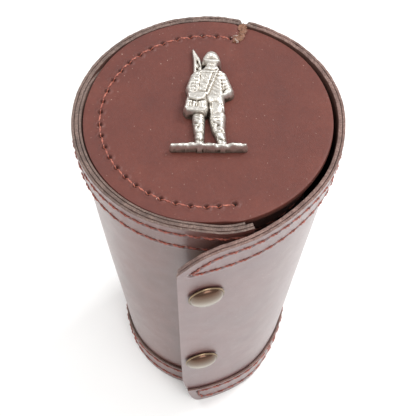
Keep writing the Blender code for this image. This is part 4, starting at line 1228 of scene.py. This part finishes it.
def cast_ground(r):
    """Ground bar, rough as cast, and a fine tooth over the whole casting."""
    bar = r.rod((-10.0, -12.75, 0.72), (-4.0, -12.55, 0.8), (3.0, -12.8, 0.82), (11.1, -12.75, 0.75))
    r.cast(bar, 3.3, 1.15, 0.69)
    rng = np.random.default_rng(5)
    lumps = blurred(rng.normal(0, 1, r.x.shape), 5)
    r.h += np.where(bar < 0, 0.5 * lumps / lumps.std() * 0.6, 0)
    tooth = blurred(rng.normal(0, 1, r.x.shape), 2.2)
    r.h += np.where(r.out < 0, 0.03 * tooth / tooth.std(), 0)


def solid_from(r):
    """Closed mesh of the relief: points, faces and how deep each point lies in a hollow."""
    h = blurred(np.where(r.out < 0, np.clip(r.h, FLAT, 4.95), FLAT), 0.9)
    # Painted shade: how far each point lies below its blurred surroundings, which darkens the pewter there.
    hollow = np.clip((blurred(h, 5) - h) * 1.35 + 0.22, 0, 1.1)
    inside = (r.out < 0) & (r.y > BAR_FOOT_Y)
    gx, gy = np.gradient(r.out, r.step)
    g = np.maximum(np.hypot(gx, gy), 0.3)
    x = np.where(inside, r.x, r.x - np.clip(r.out, 0, SKIRT) * gx / g)
    y = np.where(inside, r.y, r.y - np.clip(r.out, 0, SKIRT) * gy / g)
    y = np.where(y > FEET_Y, FEET_Y + (y - FEET_Y) * STRETCH, y) + BADGE_SHIFT
    cell = inside[:-1, :-1] | inside[1:, :-1] | inside[:-1, 1:] | inside[1:, 1:]
    count = r.x.size
    ident = np.arange(count).reshape(r.x.shape)
    quad = np.stack([ident[:-1, :-1], ident[1:, :-1], ident[1:, 1:], ident[:-1, 1:]], -1)[cell]
    z0 = LID_TOP + PIN_GAP
    top = np.stack([x, y, np.where(inside, z0 + h, z0)], -1).reshape(-1, 3)
    under = np.stack([x, y, np.full_like(x, z0)], -1).reshape(-1, 3)
    back = np.where(inside.reshape(-1), np.arange(count) + count, np.arange(count))
    faces = np.concatenate([quad, back[quad][:, ::-1]])
    used, renumbered = np.unique(faces, return_inverse=True)
    shade = np.concatenate([np.where(inside, hollow, 0.62).reshape(-1), np.full(count, 0.6)])
    return np.concatenate([top, under])[used], renumbered.reshape(-1, 4).tolist(), shade[used]


def make_figure():
    """Country sportsman seen from behind: hat, jacket, game bag on its strap,
    breeches and boots, gun over the shoulder, standing on a rough ground bar."""
    r = Relief(-12.2, 13.2, -14.6, 23.0, 0.11)
    cast_gun(r)
    cast_leg(r, (-2.4, -2.2, 2.05), (-2.2, -6.4, 1.7), (-2.1, -9.2, 1.45), (-2.0, -12.4, 1.5), 78, 3)
    cast_leg(r, (3.1, -2.6, 2.65), (3.4, -6.4, 2.05), (4.2, -9.4, 1.5), (4.7, -12.4, 1.55), 100, 4)
    cast_seat(r)
    cast_jacket(r)
    cast_bag(r)
    cast_head(r)
    cast_ground(r)
    verts, faces, shade = solid_from(r)
    fig = piece("pewter_sportsman", verts, faces, [PEWTER], None, 75.0, {"hollow": shade})
    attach(fig, "case")
    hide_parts("badge_figure")
    for tag in ("front", "rear"):
        paint("badge_clutch_" + tag, STEEL)


# ------------------------------------------------------------------ cup and dice
CUP_LO, CUP_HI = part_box("cup_wall")
CUP_Z = (CUP_LO.z / MM, CUP_HI.z / MM)
CUP_R = (25.2, CUP_HI.x / MM)
CUP_T, BINDING_T, CUP_GAP = 2.0, 0.85, 0.15
FELT_OUT = CUP_T + CUP_GAP
FELT_T = 0.9
BINDING_IN = FELT_OUT + 0.75
BINDING_SEAM = 1.6             # up from the binding's lower edge


def cup_radius(z):
    return CUP_R[0] + (CUP_R[1] - CUP_R[0]) * (z - CUP_Z[0]) / (CUP_Z[1] - CUP_Z[0])


def on_cup(depth, z):
    """Point of a turned profile, a depth inside the cup's outer surface."""
    return cup_radius(z) - depth, z


def on_binding(az, z, off):
    return polar(cup_radius(z) + BINDING_T - off, az, z)


def make_cup():
    """Dice cup: saddle-leather tube, sewn rim binding, wool felt inside."""
    z0, z1 = CUP_Z
    shell = [on_cup(CUP_T, z0), on_cup(0.0, z0), on_cup(0.0, z1), on_cup(CUP_T, z1)]
    wall = turned("cup_leather_wall", soft_profile(shell, 0.4), None, 160, [CUP_LEATHER])
    zb, zt = (corner_point.z / MM for corner_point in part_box("cup_rim_binding"))
    zi = z1 + CUP_GAP
    fold = [(cup_radius(zb) + 0.12, zb), (cup_radius(zb) + BINDING_T, zb),
            (cup_radius(zt) + BINDING_T, zt - 0.1), on_cup(0.4, zt), on_cup(1.9, zt),
            (cup_radius(zt) - BINDING_IN, zt - 0.1), on_cup(BINDING_IN, zb), on_cup(FELT_OUT, zb),
            on_cup(FELT_OUT, zi), (cup_radius(zi) + 0.12, zi)]
    binding = turned("cup_rim_strip", soft_profile(fold, 0.3), None, 160, [BINDING])
    seam = Seam(on_binding, [(a, zb + BINDING_SEAM) for a in even(0, 358.5, 1.0)], jitter=0.05)
    stitches = sew("cup_rim_stitches", seam, 0.2, 0.08, 0.3)
    f0, f1 = (corner_point.z / MM for corner_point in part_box("cup_lining"))
    felt_in = FELT_OUT + FELT_T
    layer = [on_cup(felt_in, f0), on_cup(FELT_OUT, f0), on_cup(FELT_OUT, f1), on_cup(felt_in, f1)]
    lining = turned("cup_felt_lining", soft_profile(layer, 0.3), None, 160, [FELT])
    for ob, cad, finish in ((wall, "cup_wall", "cup_leather"),
                            (binding, "cup_rim_binding", "binding_leather"),
                            (lining, "cup_lining", "felt")):
        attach(ob, "cup")
        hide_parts(cad)
    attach(stitches, "cup")
    paint("cup_base", CUP_LEATHER)
    paint("cup_floor_felt", FELT)


DIE, DIE_ROUND = 12.0, 1.2
PIP_STEP, PIP_BALL, PIP_OUT = 2.9, 1.42, 0.75      # pips are dished by a ball held off the face
FACE_WAY = {1: (0, 0, 1), 6: (0, 0, -1), 2: (0, -1, 0), 5: (0, 1, 0), 3: (1, 0, 0), 4: (-1, 0, 0)}
PIPS = {1: [(0, 0)], 2: [(-1, -1), (1, 1)], 3: [(-1, -1), (0, 0), (1, 1)],
        4: [(-1, -1), (-1, 1), (1, -1), (1, 1)], 5: [(-1, -1), (-1, 1), (0, 0), (1, -1), (1, 1)],
        6: [(-1, -1), (-1, 0), (-1, 1), (1, -1), (1, 0), (1, 1)]}
FACE_UP = ((6, 2.0), (3, -3.0), (5, 1.5), (2, -2.0), (4, 3.0))     # upper face and twist of each die


def make_die_mesh():
    """Die with rounded edges and painted, dished pips."""
    bm = bmesh.new()
    bmesh.ops.create_cube(bm, size=DIE * MM)
    bmesh.ops.bevel(bm, geom=bm.edges[:], offset=DIE_ROUND * MM, segments=5, affect="EDGES", profile=0.5)
    body = bpy.data.meshes.new("die_blank")
    bm.to_mesh(body)
    bm.free()
    body.materials.append(IVORY)
    body.materials.append(PIP_INK)
    blank = linked("die_blank", body)
    bm = bmesh.new()
    for n, way in FACE_WAY.items():
        out = Vector(way)
        e1 = out.orthogonal().normalized()
        e2 = out.cross(e1)
        for a, b in PIPS[n]:
            p = (out * (DIE / 2 + PIP_OUT) + e1 * a * PIP_STEP + e2 * b * PIP_STEP) * MM
            bmesh.ops.create_uvsphere(bm, u_segments=20, v_segments=12, radius=PIP_BALL * MM,
                                      matrix=Matrix.Translation(p))
    for f in bm.faces:
        f.material_index = 1
    balls = bpy.data.meshes.new("pip_cutter")
    bm.to_mesh(balls)
    bm.free()
    cutter = linked("pip_cutter", balls)
    cut = blank.modifiers.new("pips", "BOOLEAN")
    cut.operation = "DIFFERENCE"
    cut.solver = "EXACT"
    cut.object = cutter
    depsgraph = bpy.context.evaluated_depsgraph_get()
    done = bpy.data.meshes.new_from_object(blank.evaluated_get(depsgraph))
    done.shade_smooth()
    done.set_sharp_from_angle(angle=radians(32))
    for ob in (blank, cutter):
        bpy.data.objects.remove(ob, do_unlink=True)
    return done


def make_dice():
    """Five dice lying on the cup's felt floor, each turned as its CAD node."""
    blank = make_die_mesh()
    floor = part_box("cup_floor_felt")[1].z
    for i, (up, twist) in enumerate(FACE_UP):
        lo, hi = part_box(f"die_{i + 1}")
        c = (lo + hi) / 2
        turn = Vector(FACE_WAY[up]).rotation_difference(Vector((0, 0, 1))).to_matrix()
        spin = Matrix.Rotation(radians(90.0 + 72.0 * i + twist), 3, "Z")
        ob = linked(f"ivory_die_{i + 1}", blank)
        at = Matrix.Translation((c.x, c.y, floor + 0.1 * MM + DIE / 2 * MM))
        ob.matrix_world = at @ (spin @ turn).to_4x4()
        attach(ob, f"die_{i + 1}")
        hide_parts(f"die_{i + 1}")


# ------------------------------------------------------------------ studio
TABLE_HALF = 3.0               # metres
ROOM_LIGHT = 0.75
# Place, aim, width and watts of each softbox, in metres.
SOFTBOXES = {"softbox_left_rear": ((-0.75, 0.5, 0.95), (0, 0, 0.06), 0.7, 4),
             "softbox_right_rear": ((0.7, 0.45, 1.0), (0, 0, 0.06), 0.4, 8),
             "softbox_front": ((0.4, -0.8, 1.0), (0.1, -0.1, 0.0), 0.8, 8.5)}


def make_table():
    """Flat white table, a hair below the case."""
    me = bpy.data.meshes.new("table_top")
    s = TABLE_HALF
    me.from_pydata([(-s, -s, 0), (s, -s, 0), (s, s, 0), (-s, s, 0)], [], [(0, 1, 2, 3)])
    me.materials.append(PAPER)
    floor = linked("table_top", me)
    floor.location.z = -0.2 * MM


def make_lights():
    """An even white room and three softboxes."""
    world = bpy.data.worlds.new("studio_air")
    bpy.context.scene.world = world
    world.use_nodes = True
    air = world.node_tree.nodes["Background"]
    air.inputs[0].default_value = (1.0, 1.0, 1.0, 1.0)
    air.inputs[1].default_value = ROOM_LIGHT
    for name, (place, aim, size, watts) in SOFTBOXES.items():
        data = bpy.data.lights.new(name, "AREA")
        data.shape = "SQUARE"
        data.size = size
        data.energy = watts
        ob = linked(name, data)
        ob.location = place
        ob.rotation_mode = "QUATERNION"
        ob.rotation_quaternion = (Vector(place) - Vector(aim)).to_track_quat("Z", "Y")


CAMERA_AT = (0.0004, -0.2002, 0.3832)          # metres
CAMERA_BACK = (0.0, -0.5466, 0.8374)           # the way from what it looks at: 57 degrees up
LENS, SENSOR = 95.2, 36.0
NEAR_CLIP, FAR_CLIP = 0.01, 20.0


def make_camera():
    """Above the front of the case, looking down on the lid."""
    data = bpy.data.cameras.new("camera")
    data.lens = LENS
    data.sensor_width = SENSOR
    data.clip_start = NEAR_CLIP
    data.clip_end = FAR_CLIP
    cam = linked("camera", data)
    cam.location = CAMERA_AT
    cam.rotation_mode = "QUATERNION"
    cam.rotation_quaternion = Vector(CAMERA_BACK).to_track_quat("Z", "Y")
    bpy.context.scene.camera = cam


make_camera()
make_table()
make_lights()
make_wall()
make_flap()
make_lid()
make_base()
make_welts()
make_knot()
make_caps()
make_figure()
make_cup()
make_dice()
